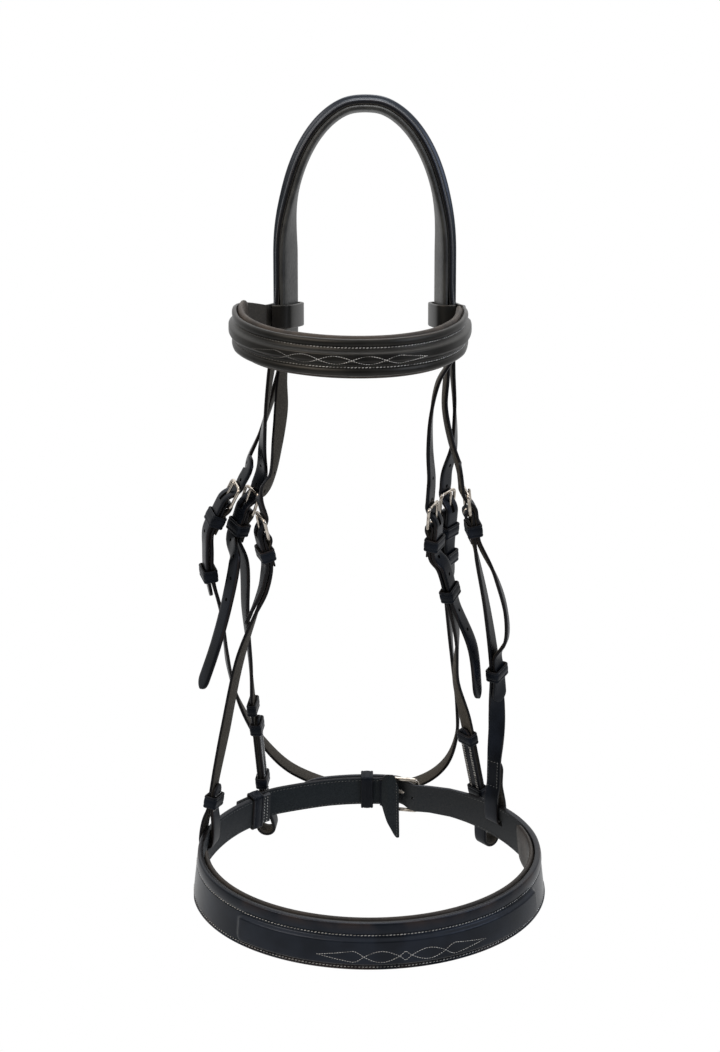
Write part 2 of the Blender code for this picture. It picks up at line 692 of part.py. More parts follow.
def build_crown():
    """Padded lining, the noseband's headstrap on it, and the crown strap raised over both."""
    low = 0.0
    lining = crown_stations(low, low + LINING_THICK, LINING_WIDTH_TOP, LINING_WIDTH_LEG)
    sweep("crown_lining", lining, "lining", section=pad_section)
    low = LINING_THICK + CROWN_GAP
    head = crown_stations(low, low + HEADSTRAP_THICK, HEADSTRAP_WIDTH, HEADSTRAP_WIDTH)
    low += HEADSTRAP_THICK + CROWN_GAP
    strap = crown_stations(low, low + CROWN_THICK, CROWN_WIDTH_TOP, CROWN_WIDTH_LEG)
    rings = []
    for i, station in enumerate(strap):
        from_end = min(i, len(strap) - 1 - i)
        lowered = (HEADSTRAP_THICK + GAP) * smooth_share(from_end / CROWN_LIFT_STEPS)
        rings.append(ring_at(station, hat_section(station.width, station.thick, lowered)))
    vertices, faces = loft(rings)
    return add_object("crown_strap", vertices, faces, "leather"), strap, head


def hat_section(width, thick, lowered):
    """Strap raised over a narrower one: its margins lie lower than its middle."""
    half, depth, ease = width / 2, thick / 2, EDGE_ROUND
    inner = HEADSTRAP_WIDTH / 2 + GAP * 2
    outer = inner + thick * 0.5
    side = [(inner, -depth), (inner, -depth - lowered * 0.98), (half - ease, -depth - lowered),
            (half, -lowered), (half - ease, depth - lowered), (outer + ease, depth - lowered),
            (outer - ease, depth)]
    if lowered < GAP:
        side[1] = (inner + GAP, -depth)
    return side + [(-across, out) for across, out in reversed(side)]


def buckle_set(side, part, seat, billet_thick=STRAP_THICK):
    """Frame, tongue and fixed keeper of one strap buckle."""
    half = STRAP_WIDTH / 2 + BUCKLE_SIDE_SLACK + WIRE
    wire_loop(f"{side}_{part}_buckle", seat, half, BUCKLE_REACH, WIRE, BUCKLE_CORNER)
    buckle_tongue(f"{side}_{part}_tongue", seat, BUCKLE_REACH, WIRE, TONGUE_WIRE)
    low = FOLD_OUT - FOLD_THICK / 2
    high = BILLET_OUT + billet_thick / 2
    keeper(f"{side}_{part}_fixed_keeper", seat, FIXED_KEEPER_UP, low, high)


def beside(stations, first, last):
    """Knots of a billet lying on the front of another strap between two of its stations."""
    step = 1 if last >= first else -1
    picked = [stations[i] for i in range(first, last + step, step)]
    return [Knot(s.point + s.out * LAID_STEP, s.out, STRAP_WIDTH, STRAP_THICK) for s in picked]


def seat_on(stations, index):
    """Seat on a free stretch of strap, whose up runs back towards the strap's start."""
    before, after = stations[index - 1].point, stations[index + 1].point
    return Seat(stations[index].point, before - after, stations[index].out)


def build_straps(crown, strap, head):
    """All cheek, throat and hanger straps, with their buckles and keepers."""
    inset = (CROWN_THICK - STRAP_THICK) / 2
    seats = {("off", "cheek"): seat_from(OFF_CHEEK_SEAT_SHARES),
             ("near", "cheek"): seat_from(NEAR_CHEEK_SEAT_SHARES),
             ("off", "throat"): seat_from(OFF_THROAT_SEAT_SHARES),
             ("near", "throat"): seat_from(NEAR_THROAT_SEAT_SHARES),
             ("off", "hanger"): seat_from(OFF_HANGER_SEAT_SHARES),
             ("near", "hanger"): seat_from(NEAR_HANGER_SEAT_SHARES)}
    for (side, part), seat in seats.items():
        buckle_set(side, part, seat)
    cheek = {"off": build_cheekpiece("off", seats["off", "cheek"], OFF_CHEEK_SHARES),
             "near": build_cheekpiece("near", seats["near", "cheek"], NEAR_CHEEK_SHARES)}
    hanger = {"off": build_hanger("off", seats["off", "hanger"], OFF_HANGER_SHARES),
              "near": build_hanger("near", seats["near", "hanger"], NEAR_HANGER_SHARES)}
    throat = build_throatlatch(seats["off", "throat"], seats["near", "throat"])

    # where each billet runs on after its buckle
    turn = len(chape(seats["off", "cheek"])) - 1
    run, marks = cheek["near"]
    near_cheek_tail = beside(run, marks[turn] + 1, marks[turn + 2] + 1) + rows(NEAR_CHEEK_TAIL_SHARES)
    run, marks = throat
    off_throat_tail = beside(run, marks[turn] + 1, marks[turn + 2] + 1)
    near_throat_tail = beside(run, marks[-1 - turn] - 1, marks[-2 - turn] - 1)
    run, marks = hanger["off"]
    off_hanger_tail = beside(run, marks[turn] + 1, marks[turn + 2])
    run, marks = hanger["near"]
    near_hanger_tail = rows(NEAR_HANGER_TAIL_SHARES) + beside(run, marks[turn + 3] - 1, marks[turn + 3] + 1)

    # the crown's front billets go to the cheekpieces, its rear ones to the throatlatch
    crown_parts, crown_cuts = [], []
    billets = (("off", "cheek", 0.5, OFF_CHEEK_BILLET_SHARES, rows(OFF_CHEEK_TAIL_SHARES), (2, 5)),
               ("near", "cheek", 0.5, NEAR_CHEEK_BILLET_SHARES, near_cheek_tail, (2, 6)),
               ("off", "throat", -0.5, OFF_THROAT_BILLET_SHARES, off_throat_tail, (2, 2)),
               ("near", "throat", -0.5, NEAR_THROAT_BILLET_SHARES, near_throat_tail, (2, 1)))
    for side, part, front_share, table, tail, counts in billets:
        seat = seats[side, part]
        start = billet_start(strap, side == "near", front_share, inset) + rows(table)
        stations, marks = follow(tip(start + through_buckle(seat) + tail, TIP_LENGTH))
        crown_parts.append(sweep(f"{side}_{part}_billet", stations, "leather"))
        crown_cuts.append(tongue_slot("cut", seat, BUCKLE_REACH, TONGUE_WIRE, TONGUE_RADIUS))
        crown_cuts += punch_row("cut", stations, marks[len(start) + IN_USE], counts)
    combine(crown, crown_parts, "UNION")
    combine(crown, crown_cuts, "DIFFERENCE")

    # the headstrap runs from one hanger billet's tip over the poll to the other's
    halves = {}
    for side, table, tail in (("off", OFF_HANGER_BILLET_SHARES, off_hanger_tail),
                              ("near", NEAR_HANGER_BILLET_SHARES, near_hanger_tail)):
        start = rows(table)
        halves[side] = (tip(start + through_buckle(seats[side, "hanger"]) + tail, TIP_LENGTH), len(start) + IN_USE)
    arch = [Knot(s.point, s.out, s.width, s.thick) for s in head]
    for near in (False, True):
        end, down = leg_end(head, near)
        low = Knot(end.point + down * STRAP_WIDTH, end.out, end.width, end.thick)
        arch = arch + [low] if near else [low] + arch
    off_knots, off_used = halves["off"]
    near_knots, near_used = halves["near"]
    stations, marks = follow(list(reversed(off_knots)) + arch + near_knots)
    item = sweep("noseband_headstrap", stations, "leather")
    cuts = [tongue_slot("cut", seats[side, "hanger"], BUCKLE_REACH, TONGUE_WIRE, TONGUE_RADIUS)
            for side in ("off", "near")]
    cuts += punch_row("cut", stations, marks[len(off_knots) - 1 - off_used], (1, 3))
    cuts += punch_row("cut", stations, marks[len(off_knots) + len(arch) + near_used], (3, 4))
    combine(item, cuts, "DIFFERENCE")


def build_cheekpiece(side, seat, table):
    """Cheekpiece from its buckle to the loop for the bit, with the end turned up inside."""
    near = side == "near"
    degrees = NEAR_BIT_ANGLE if near else OFF_BIT_ANGLE
    stand = NEAR_BIT_STAND if near else OFF_BIT_STAND
    level = NEAR_BIT_DROP if near else OFF_BIT_DROP
    wall = nose_station(degrees, nose_width(degrees), NOSE_THICK)
    flat = Vector((wall.out.x, wall.out.y, 0)).normalized()
    base = Vector((wall.point.x, wall.point.y, 0)) + flat * stand - UP * level
    last = place(table[-1])
    end = Seat(base, last - base, facing(NEAR_BIT_FACING if near else OFF_BIT_FACING))
    half = PLY_STEP / 2
    radius, rise, reach = BIT_LOOP_RADIUS, BIT_LOOP_RISE, BIT_END_LENGTH
    lower = [end.knot(reach * 0.98, half), end.knot(reach * 0.5, half), end.knot(rise, half),
             end.knot(rise * 0.45, radius * 0.72)]
    for angle_degrees in range(0, 181, 30):
        angle = radians(angle_degrees)
        face = end.out * cos(angle) - end.up * sin(angle)
        lower.append(end.knot(-radius * sin(angle), radius * cos(angle), face=face))
    for up, out in ((rise * 0.45, -radius * 0.72), (rise, -half), (reach * 0.5, -half), (reach * 0.83, -half)):
        lower.append(end.knot(up, out, face=-end.out))
    stations, marks = follow(tip(chape(seat) + rows(table) + lower, TIP_LENGTH))
    item = sweep(f"{side}_cheekpiece", stations, "leather")
    combine(item, [crew_hole("cut", seat, TONGUE_RADIUS, TONGUE_WIRE)], "DIFFERENCE")
    outer = half + STRAP_THICK / 2
    keeper(f"{side}_bit_keeper_lower", end, reach * 0.38, -outer, outer)
    keeper(f"{side}_bit_keeper_upper", end, reach * 0.82, -outer, outer)
    spot = marks[len(chape(seat)) + (1 if near else len(table))]
    high = STRAP_THICK / 2 + (PAIR_STEP if near else 0)
    keeper(f"{side}_cheek_running_keeper", seat_on(stations, spot), 0, -STRAP_THICK / 2, high,
           slack=RUNNING_SLACK)
    return stations, marks


def build_hanger(side, seat, table):
    """Noseband hanger from its buckle, down inside the ring, out through the slot and up again."""
    near = side == "near"
    degrees = NOSE_TURN + (SLOT_ANGLE if near else -SLOT_ANGLE)
    wall = nose_station(degrees, nose_width(degrees), NOSE_THICK, down=SLOT_DOWN)
    slot = Seat(wall.point, wall.across, wall.out)
    half = PLY_STEP / 2
    reach = NOSE_THICK / 2 + HANGER_SLACK + STRAP_THICK / 2
    rise = SLOT_DOWN + reach
    top = rise * 2.2
    turned = 1 if near else -1      # the near hanger runs down inside the band, the off one outside it
    first, second = slot.out * -turned, slot.out * turned
    over = slot.at(0, rise * 1.25, 0)
    above = Seat(over, place(table[-1]) - over, first)
    pair = [(top * 0.68, half), (top * 0.45, half), (top * 0.18, half)]
    leg = [(rise * 1.2, reach * 0.78), (rise * 0.8, reach), (reach * 0.8, reach), (reach * 0.25, reach * 0.82)]
    lower = [above.knot(up, out, face=above.out) for up, out in pair]
    lower += [slot.knot(up, -out * turned, face=first) for up, out in leg]
    lower += [slot.knot(0, -reach * 0.35 * turned, face=-slot.up),
              slot.knot(0, reach * 0.35 * turned, face=-slot.up)]
    lower += [slot.knot(up, out * turned, face=second) for up, out in reversed(leg)]
    lower += [above.knot(up, -out, face=-above.out) for up, out in reversed(pair[1:])]
    stations, marks = follow(tip(chape(seat) + rows(table) + lower, TIP_LENGTH))
    item = sweep(f"{side}_noseband_hanger", stations, "leather")
    combine(item, [crew_hole("cut", seat, TONGUE_RADIUS, TONGUE_WIRE)], "DIFFERENCE")
    if near:
        place_on = seat_on(stations, marks[len(chape(seat)) + 2])
        high = STRAP_THICK / 2 + LAID_STEP
        keeper(f"{side}_hanger_running_keeper", place_on, 0, -STRAP_THICK / 2, high, slack=RUNNING_SLACK)
    else:
        outer = half + STRAP_THICK / 2
        keeper(f"{side}_hanger_running_keeper", above, top * 0.32, -outer, outer, slack=RUNNING_SLACK)
    return stations, marks


def build_throatlatch(off_seat, near_seat):
    """One long strap from buckle to buckle, hanging behind the noseband."""
    deep = NOSE_HALF_DEPTH
    near_side = chape(near_seat) + rows(NEAR_THROAT_SHARES, deep)
    off_side = chape(off_seat) + rows(OFF_THROAT_SHARES, deep)
    knots = off_side + rows(THROAT_LOW_SHARES, deep) + list(reversed(near_side))
    stations, marks = follow(knots)
    item = sweep("throatlatch", stations, "leather")
    cutters = [crew_hole("cut", off_seat, TONGUE_RADIUS, TONGUE_WIRE),
               crew_hole("cut", near_seat, TONGUE_RADIUS, TONGUE_WIRE)]
    combine(item, cutters, "DIFFERENCE")
    high = STRAP_THICK / 2 + LAID_STEP
    spots = (("off", marks[len(chape(off_seat)) + 1]), ("near", marks[-1 - len(chape(near_seat))]))
    for side, spot in spots:
        place_on = seat_on(stations, spot)
        keeper(f"{side}_throat_running_keeper", place_on, 0, -STRAP_THICK / 2, high, slack=RUNNING_SLACK)
    return stations, marks


def build_browband():
    """Raised browband whose ends are turned into loops round the crown, and its padding."""
    line = crown_line()
    half_deep = LINING_WIDTH_LEG / 2 + BROW_LOOP_SLACK + BROW_THICK / 2
    half_thick = CROWN_STACK / 2 + BROW_LOOP_SLACK + BROW_THICK / 2
    corner = half_thick * 0.45
    loops = {}
    for side in ("off", "near"):
        near = side == "near"
        end = line[-1] if near else line[0]
        middle, out = end[0], end[1]
        front = Vector((-out.y, out.x, 0)) if not near else Vector((out.y, -out.x, 0))
        base = Vector((middle.x, middle.y, -BROW_DROP))
        outline = [(half_deep, half_thick * 0.35, (1, 0)), (half_deep, -half_thick + corner, (1, 0)),
                   (half_deep - corner, -half_thick, (0, -1)), (-half_deep + corner, -half_thick, (0, -1)),
                   (-half_deep, -half_thick + corner, (-1, 0)), (-half_deep, half_thick - corner, (-1, 0)),
                   (-half_deep + corner, half_thick, (0, 1)), (half_deep - corner, half_thick, (0, 1)),
                   (half_deep, half_thick + BROW_THICK / 4, (0.2, 1))]
        knots = []
        for forward, outward, face in outline:
            knots.append(Knot(base + front * forward + out * outward,
                              (front * face[0] + out * face[1]).normalized(), BROW_LOOP_WIDTH, BROW_THICK))
        loops[side] = knots
    band = []
    last = len(BROW_SHARES) - 1
    for i, (x_share, y_share) in enumerate(BROW_SHARES):
        x, y = x_share * SPREAD, y_share * SPREAD
        ahead = BROW_SHARES[min(i + 1, last)]
        behind = BROW_SHARES[max(i - 1, 0)]
        out = Vector((ahead[1] - behind[1], -(ahead[0] - behind[0]), 0)).normalized()
        width = BROW_WIDTH if 0 < i < last else (BROW_WIDTH + BROW_LOOP_WIDTH) / 2
        height = -BROW_DROP + BROW_SLOPE_SHARE * (y + half_deep) + BROW_LIFT_SHARES[i] * BROW_WIDTH
        band.append(Knot(Vector((x, y, height)), out, width, BROW_THICK))
    knots = loops["off"] + band + list(reversed(loops["near"]))
    stations, marks = follow(knots)
    first, final = marks[len(loops["off"])], marks[len(loops["off"]) + last]

    rings = []
    for i, s in enumerate(stations):
        level = smooth_share((i - first) / 3) * smooth_share((final - i) / 3)
        rings.append(ring_at(s, raised_section(s.width, s.thick, s.width * 0.36, BROW_RAISE * level)))
    vertices, faces = loft(rings)
    add_object("browband", vertices, faces, "leather")

    back = -(BROW_THICK / 2 + GAP + BROW_PAD_THICK / 2)
    pad = [Station(s.point + s.out * back, s.across, s.out, BROW_PAD_WIDTH, BROW_PAD_THICK)
           for s in stations[first + 1:final]]
    sweep("browband_padding", pad, "lining", section=pad_section)


def build_noseband():
    """Raised cavesson: face with its tapered jaw billet, padding, jaw strap and buckle."""
    seat = jaw_seat()
    heel_angle = JAW_BUCKLE_ANGLE
    reach = JAW_REACH
    turn = JAW_WIRE + GAP + SKIVED_THICK / 2
    curl = JAW_WIRE + GAP + JAW_TONGUE_WIRE
    billet_out = curl + JAW_TONGUE_WIRE + GAP + JAW_THICK / 2
    behind = -(JAW_WIRE + GAP + JAW_THICK / 2)
    half = JAW_STRAP_WIDTH / 2 + BUCKLE_SIDE_SLACK + JAW_WIRE
    wire_loop("jaw_buckle", seat, half, reach, JAW_WIRE, BUCKLE_CORNER)
    buckle_tongue("jaw_tongue", seat, reach, JAW_WIRE, JAW_TONGUE_WIRE)

    # face of the band, tapering on the near side into the billet that goes through the buckle
    stop = heel_angle - 22
    count = 44
    stations, raises = [], []
    for k in range(count + 1):
        degrees = -NOSE_END_ANGLE + (stop + NOSE_END_ANGLE) * k / count
        thin = smooth_share((degrees - stop + 24) / 24)
        thick = NOSE_THICK + (JAW_THICK - NOSE_THICK) * thin
        inward = (JAW_THICK / 2 + behind) * 0.5 * thin
        stations.append(nose_station(degrees, nose_width(degrees), thick, out_by=inward))
        raises.append(nose_raise(degrees))
    width = JAW_STRAP_WIDTH
    knots = [seat.knot(reach * 1.5, behind, JAW_THICK, width), seat.knot(reach * 1.15, behind, JAW_THICK, width),
             seat.knot(reach * 0.92, behind, JAW_THICK, width),
             seat.knot(reach * 0.68, behind * 0.2, JAW_THICK, width),
             seat.knot(reach * 0.44, billet_out * 0.6, JAW_THICK, width),
             seat.knot(reach * 0.2, billet_out * 0.95, JAW_THICK, width),
             seat.knot(0, billet_out, JAW_THICK, width)]
    for degrees in JAW_TAIL_TURNS:
        on_ring = nose_station(heel_angle + degrees, width, JAW_THICK, out_by=billet_out)
        knots.append(Knot(on_ring.point, on_ring.out, width, JAW_THICK))
    knots = tip(knots, JAW_POINT_LENGTH)
    extra, marks = follow(knots)
    join = stations[-1]
    aligned = []
    for s in extra:
        across = s.across if s.across.dot(join.across) > 0 else -s.across
        aligned.append(Station(s.point, across, s.out, s.width, s.thick))
    stations += aligned
    raises += [0.0] * len(aligned)
    rings = [ring_at(s, raised_section(s.width, s.thick, s.width * 0.34, NOSE_RAISE * r))
             for s, r in zip(stations, raises)]
    vertices, faces = loft(rings)
    face = add_object("noseband", vertices, faces, "leather")
    cutters = [tongue_slot("cut", seat, reach, JAW_TONGUE_WIRE, curl)]
    for sign in (1, -1):
        degrees = NOSE_TURN + SLOT_ANGLE * sign
        wall = nose_station(degrees, nose_width(degrees), NOSE_THICK, down=SLOT_DOWN)
        slot = Seat(wall.point, wall.across, wall.out)
        cutters.append(slot.solid("cut", (-SLOT_HALF_WIDTH, -SLOT_HALF_HEIGHT, -OVERRUN),
                                  (SLOT_HALF_WIDTH, SLOT_HALF_HEIGHT, OVERRUN)))
    heel_mark = len(stations) - len(extra) + marks[5]
    cutters += punch_row("cut", stations, heel_mark, (2, 2))
    combine(face, cutters, "DIFFERENCE")

    # padding behind the raised part
    back = -(NOSE_THICK / 2 + GAP + NOSE_PAD_THICK / 2)
    pad = []
    for k in range(31):
        degrees = NOSE_TURN - NOSE_PAD_ANGLE + 2 * NOSE_PAD_ANGLE * k / 30
        wide = nose_width(degrees)
        s = nose_station(degrees, wide, NOSE_PAD_THICK, out_by=back)
        pad.append(Station(s.point, s.across, s.out, wide + NOSE_PAD_OVER * 2, NOSE_PAD_THICK))
    sweep("noseband_padding", pad, "lining", section=pad_section)

    # jaw strap from the off side, turned round the buckle's heel bar, and the tab behind the bar
    main = turn + SKIVED_THICK / 2 - JAW_THICK / 2
    lap = NOSE_THICK / 2 + GAP + JAW_THICK / 2
    knots = []
    for behind_end, out_by in ((-14, lap), (-7, lap), (2, lap), (11, main * 1.1)):
        s = nose_station(-NOSE_END_ANGLE - behind_end, width, JAW_THICK, out_by=out_by)
        knots.append(Knot(s.point, s.out, width, JAW_THICK))
    for degrees in reversed(JAW_TAIL_TURNS):
        s = nose_station(heel_angle + degrees, width, JAW_THICK, out_by=main)
        knots.append(Knot(s.point, s.out, width, JAW_THICK))
    knots.append(seat.knot(-reach * 0.2, turn, SKIVED_THICK, width))
    for degrees in range(0, 181, 30):
        angle = radians(degrees)
        facing_out = seat.up * sin(angle) + seat.out * cos(angle)
        knots.append(seat.knot(turn * sin(angle), turn * cos(angle), SKIVED_THICK, width, facing_out))
    knots.append(seat.knot(-reach * 0.2, -turn * 0.95, SKIVED_THICK, width, -seat.out))
    fold = main - JAW_THICK / 2 - GAP - FOLD_THICK / 2
    for degrees in (JAW_FOLD_TURN * 0.7, JAW_FOLD_TURN):
        s = nose_station(heel_angle + degrees, width, FOLD_THICK, out_by=fold)
        knots.append(Knot(s.point, -s.out, width, FOLD_THICK))
    stations, marks = follow(knots)
    item = sweep("jaw_strap", stations, "leather")
    combine(item, [crew_hole("cut", seat, curl, JAW_TONGUE_WIRE)], "DIFFERENCE")
    root = fold - FOLD_THICK / 2 - GAP * 2 - GUARD_THICK / 2
    face_out = -(curl + JAW_TONGUE_WIRE + GAP + GUARD_THICK / 2)
    final = GUARD_SHARES[-1][0]
    guard = []
    for degrees, top_share, bottom_share in GUARD_SHARES:
        level = face_out + (root - face_out) * smooth_share((degrees - final / 3) / (final * 2 / 3))
        tall = (bottom_share - top_share) * GUARD_HEIGHT
        middle = (bottom_share + top_share) / 2 * GUARD_HEIGHT
        guard.append(nose_station(heel_angle + degrees, tall, GUARD_THICK, down=middle, out_by=level))
    sweep("jaw_guard", guard, "leather")
    low = main - JAW_THICK / 2
    high = billet_out + JAW_THICK / 2
    keeper("jaw_keeper", ring_seat(heel_angle + JAW_KEEPER_TURN), 0, low, high, width=width, slack=RUNNING_SLACK)
    end_loop = ring_seat(-NOSE_END_ANGLE + JAW_LOOP_TURN)
    keeper("jaw_end_loop", end_loop, 0, -NOSE_THICK / 2, lap + JAW_THICK / 2, width=NOSE_REAR_WIDTH + GAP * 2)


def main():
    """Build every piece."""
    clear_scene()
    crown, strap, head = build_crown()
    build_browband()
    build_straps(crown, strap, head)
    build_noseband()


main()
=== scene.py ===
"""Hunter bridle, dressed for the photograph: leather, lining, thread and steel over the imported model.

Minus Y is the front of the horse's face and Z is up. "off" is the horse's right side (minus X) and
"near" its left side (plus X). Lengths are in metres. The routes repeat those of the part's source.
"""

import json
import logging
from dataclasses import dataclass, field, replace
from enum import Enum
from math import ceil, cos, pi, radians, sin, sqrt
from typing import Callable, Optional, Sequence

import bmesh
import bpy
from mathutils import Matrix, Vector


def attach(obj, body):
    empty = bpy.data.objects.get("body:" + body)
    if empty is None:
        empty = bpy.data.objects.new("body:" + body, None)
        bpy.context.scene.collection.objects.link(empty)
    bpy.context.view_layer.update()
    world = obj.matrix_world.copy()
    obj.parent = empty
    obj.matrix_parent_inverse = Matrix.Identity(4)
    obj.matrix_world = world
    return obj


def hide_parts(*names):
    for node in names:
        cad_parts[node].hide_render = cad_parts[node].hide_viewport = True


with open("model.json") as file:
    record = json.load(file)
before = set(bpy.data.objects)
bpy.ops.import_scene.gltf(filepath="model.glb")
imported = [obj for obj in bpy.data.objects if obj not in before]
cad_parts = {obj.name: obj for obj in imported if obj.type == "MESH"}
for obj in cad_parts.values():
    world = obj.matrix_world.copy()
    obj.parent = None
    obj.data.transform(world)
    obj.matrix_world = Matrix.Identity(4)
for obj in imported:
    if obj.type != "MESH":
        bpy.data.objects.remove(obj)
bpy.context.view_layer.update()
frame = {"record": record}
NODE_BODY = {node: body for body, nodes in frame["record"]["behaviour"]["bodies"].items() for node in nodes}
UP = Vector((0, 0, 1))
COARSE = 0.018              # spacing of the part's own stations, from which straps take their neighbours' places
FINE = 0.0024               # spacing of the sections that show
TWIST_PASSES = 6            # passes that even out the twist of a strap that shows
CRISP = radians(48)         # edges that turn more than this stay sharp
TIP_SHARES = (0.22, 0.45, 0.63, 0.78, 0.89, 0.96, 1.0)     # sections of a rounded strap end
TURN_DEGREES = range(0, 181, 30)    # sections of a strap that turns round a bar
LOG = logging.getLogger("hunter_bridle")

Table = tuple[tuple[float, ...], ...]
Outline = list[tuple[float, float, float]]      # across, out, and how much of a point is grain side


class Side(Enum):
    """The horse's two sides."""

    OFF = "off"
    NEAR = "near"


class Cut(Enum):
    """How helper solids change a piece."""

    JOIN = "UNION"
    REMOVE = "DIFFERENCE"


@dataclass(frozen=True)
class Stock:
    """Sizes that several pieces share: strap, clearances, buckle wire and punched holes."""

    drop: float = 0.530
    spread: float = 0.100
    gap: float = 0.0003
    overrun: float = 0.004
    width: float = 0.0127
    thick: float = 0.0026
    skived: float = 0.0018
    fold: float = 0.0014
    edge_round: float = 0.0008
    tip_length: float = 0.008
    wire: float = 0.0012
    tongue_wire: float = 0.0010
    reach: float = 0.0165
    side_slack: float = 0.0007
    corner: float = 0.0030
    tongue_slack: float = 0.0005
    tongue_past: float = 0.0016
    hole_radius: float = 0.0013
    hole_pitch: float = 0.0160
    running_slack: float = 0.00095      # room that a running keeper has round its straps

    @property
    def turn_radius(self) -> float:
        """Middle of a skived strap end round a heel bar."""
        return self.wire + self.gap + self.skived / 2

    @property
    def tongue_radius(self) -> float:
        """Middle of a tongue's curl round a heel bar."""
        return self.wire + self.gap + self.tongue_wire

    @property
    def main_out(self) -> float:
        """Height of the main strap over the plane of its buckle."""
        return self.turn_radius + self.skived / 2 - self.thick / 2

    @property
    def fold_out(self) -> float:
        """Height of the sewn-down end behind the main strap."""
        return self.main_out - self.thick / 2 - self.gap - self.fold / 2

    @property
    def billet_out(self) -> float:
        """Height of a billet that lies over the tongue's curl."""
        return self.tongue_radius + self.tongue_wire + self.gap + self.thick / 2

    @property
    def behind_out(self) -> float:
        """Height of a billet behind the toe bar."""
        return -(self.wire + self.gap + self.thick / 2)

    @property
    def fold_length(self) -> float:
        """Length of a sewn-down end."""
        return self.reach * 1.4

    @property
    def laid_step(self) -> float:
        """Step from a strap to the billet laid on it, where both bend."""
        return (self.billet_out - self.main_out) * 1.12

    @property
    def ply_step(self) -> float:
        """Step from one strap to the same strap doubled."""
        return self.thick + self.gap


STOCK = Stock()


@dataclass(frozen=True)
class Knot:
    """A point that a strap passes, with the way its grain side faces."""

    point: Vector
    out: Vector
    width: float = STOCK.width
    thick: float = STOCK.thick


@dataclass(frozen=True)
class Station:
    """One cross-section of a strap."""

    point: Vector
    across: Vector
    out: Vector
    width: float
    thick: float

    def at(self, across: float, out: float) -> Vector:
        """World point of a place in the cross-section."""
        return self.point + self.across * across + self.out * out


def smooth_share(value: float) -> float:
    """Ease from 0 to 1."""
    value = min(max(value, 0.0), 1.0)
    return value * value * (3 - 2 * value)


def facing(degrees: float) -> Vector:
    """Level direction: 0 faces the front, 90 the off side, -90 the near side, 180 the back."""
    return Vector((-sin(radians(degrees)), -cos(radians(degrees)), 0))


def place(row: Sequence[float], depth: float = STOCK.spread) -> Vector:
    """World point of a route row."""
    return Vector((row[0] * STOCK.spread, row[1] * depth, -row[2] * STOCK.drop))


def rows(table: Table, depth: float = STOCK.spread) -> list[Knot]:
    """Knots of a route table.

    Args:
        table: Sideways, fore-and-aft and height shares, facing in degrees, and a tilt where there is one.
        depth: Length that the fore-and-aft shares follow.

    Returns:
        One knot for each row.
    """
    knots = []
    for row in table:
        level = radians(row[4]) if len(row) > 4 else 0.0
        knots.append(Knot(place(row, depth), facing(row[3]) * cos(level) + UP * sin(level)))
    return knots


def catmull(p0: Vector, p1: Vector, p2: Vector, p3: Vector, t: float) -> Vector:
    """Point on the smooth curve between p1 and p2, with knots spaced by distance.

    Args:
        p0, p1, p2, p3: Four knots in a row.
        t: Share of the way from p1 to p2.

    Returns:
        The point.
    """
    t1 = sqrt(max((p1 - p0).length, STOCK.gap))
    t2 = t1 + sqrt(max((p2 - p1).length, STOCK.gap))
    t3 = t2 + sqrt(max((p3 - p2).length, STOCK.gap))
    s = t1 + (t2 - t1) * t
    a1 = p0 * ((t1 - s) / t1) + p1 * (s / t1)
    a2 = p1 * ((t2 - s) / (t2 - t1)) + p2 * ((s - t1) / (t2 - t1))
    a3 = p2 * ((t3 - s) / (t3 - t2)) + p3 * ((s - t2) / (t3 - t2))
    b1 = a1 * ((t2 - s) / t2) + a2 * (s / t2)
    b2 = a2 * ((t3 - s) / (t3 - t1)) + a3 * ((s - t1) / (t3 - t1))
    return b1 * ((t2 - s) / (t2 - t1)) + b2 * ((s - t1) / (t2 - t1))


class Route:
    """Stations of a strap along the smooth curve through its knots, and the station of each knot."""

    def __init__(self, knots: Sequence[Knot], step: float) -> None:
        """Lay the stations.

        Args:
            knots: Knots in order.
            step: Spacing of the stations; the fine ones also get their twist evened out.
        """
        fine = step < COARSE
        laid: list[Knot] = []
        self.marks: list[int] = []
        for i, (a, b) in enumerate(zip(knots, knots[1:])):
            before = knots[i - 1].point if i else a.point * 2 - b.point
            after = knots[i + 2].point if i + 2 < len(knots) else b.point * 2 - a.point
            pieces = max(3 if fine else 1, ceil((b.point - a.point).length / step))
            self.marks.append(len(laid))
            for k in range(pieces):
                t = k / pieces
                laid.append(Knot(catmull(before, a.point, b.point, after, t), a.out.lerp(b.out, t),
                                 a.width + (b.width - a.width) * t, a.thick + (b.thick - a.thick) * t))
        self.marks.append(len(laid))
        laid.append(knots[-1])
        outs = [knot.out for knot in laid]
        for _ in range(TWIST_PASSES if fine else 0):
            outs = [outs[0]] + [outs[i] * 0.5 + (outs[i - 1] + outs[i + 1]) * 0.25
                                for i in range(1, len(outs) - 1)] + [outs[-1]]
        self.stations: list[Station] = []
        for i, knot in enumerate(laid):
            along = (laid[min(i + 1, len(laid) - 1)].point - laid[max(i - 1, 0)].point).normalized()
            out = (outs[i] - along * outs[i].dot(along)).normalized()
            self.stations.append(Station(knot.point, out.cross(along), out, knot.width, knot.thick))

    def walk(self, start: int, distance: float) -> Optional[Station]:
        """Station at a distance from one of them.

        Args:
            start: Index to start from.
            distance: Length to go, up (+) or down (-) the list.

        Returns:
            The station there, or None past the end.
        """
        step = 1 if distance > 0 else -1
        left, i = abs(distance), start
        while 0 <= i + step < len(self.stations):
            a, b = self.stations[i], self.stations[i + step]
            span = (b.point - a.point).length
            if span >= left:
                t = left / span
                return Station(a.point.lerp(b.point, t), a.across.lerp(b.across, t), a.out.lerp(b.out, t),
                               a.width, a.thick)
            left -= span
            i += step
        return None


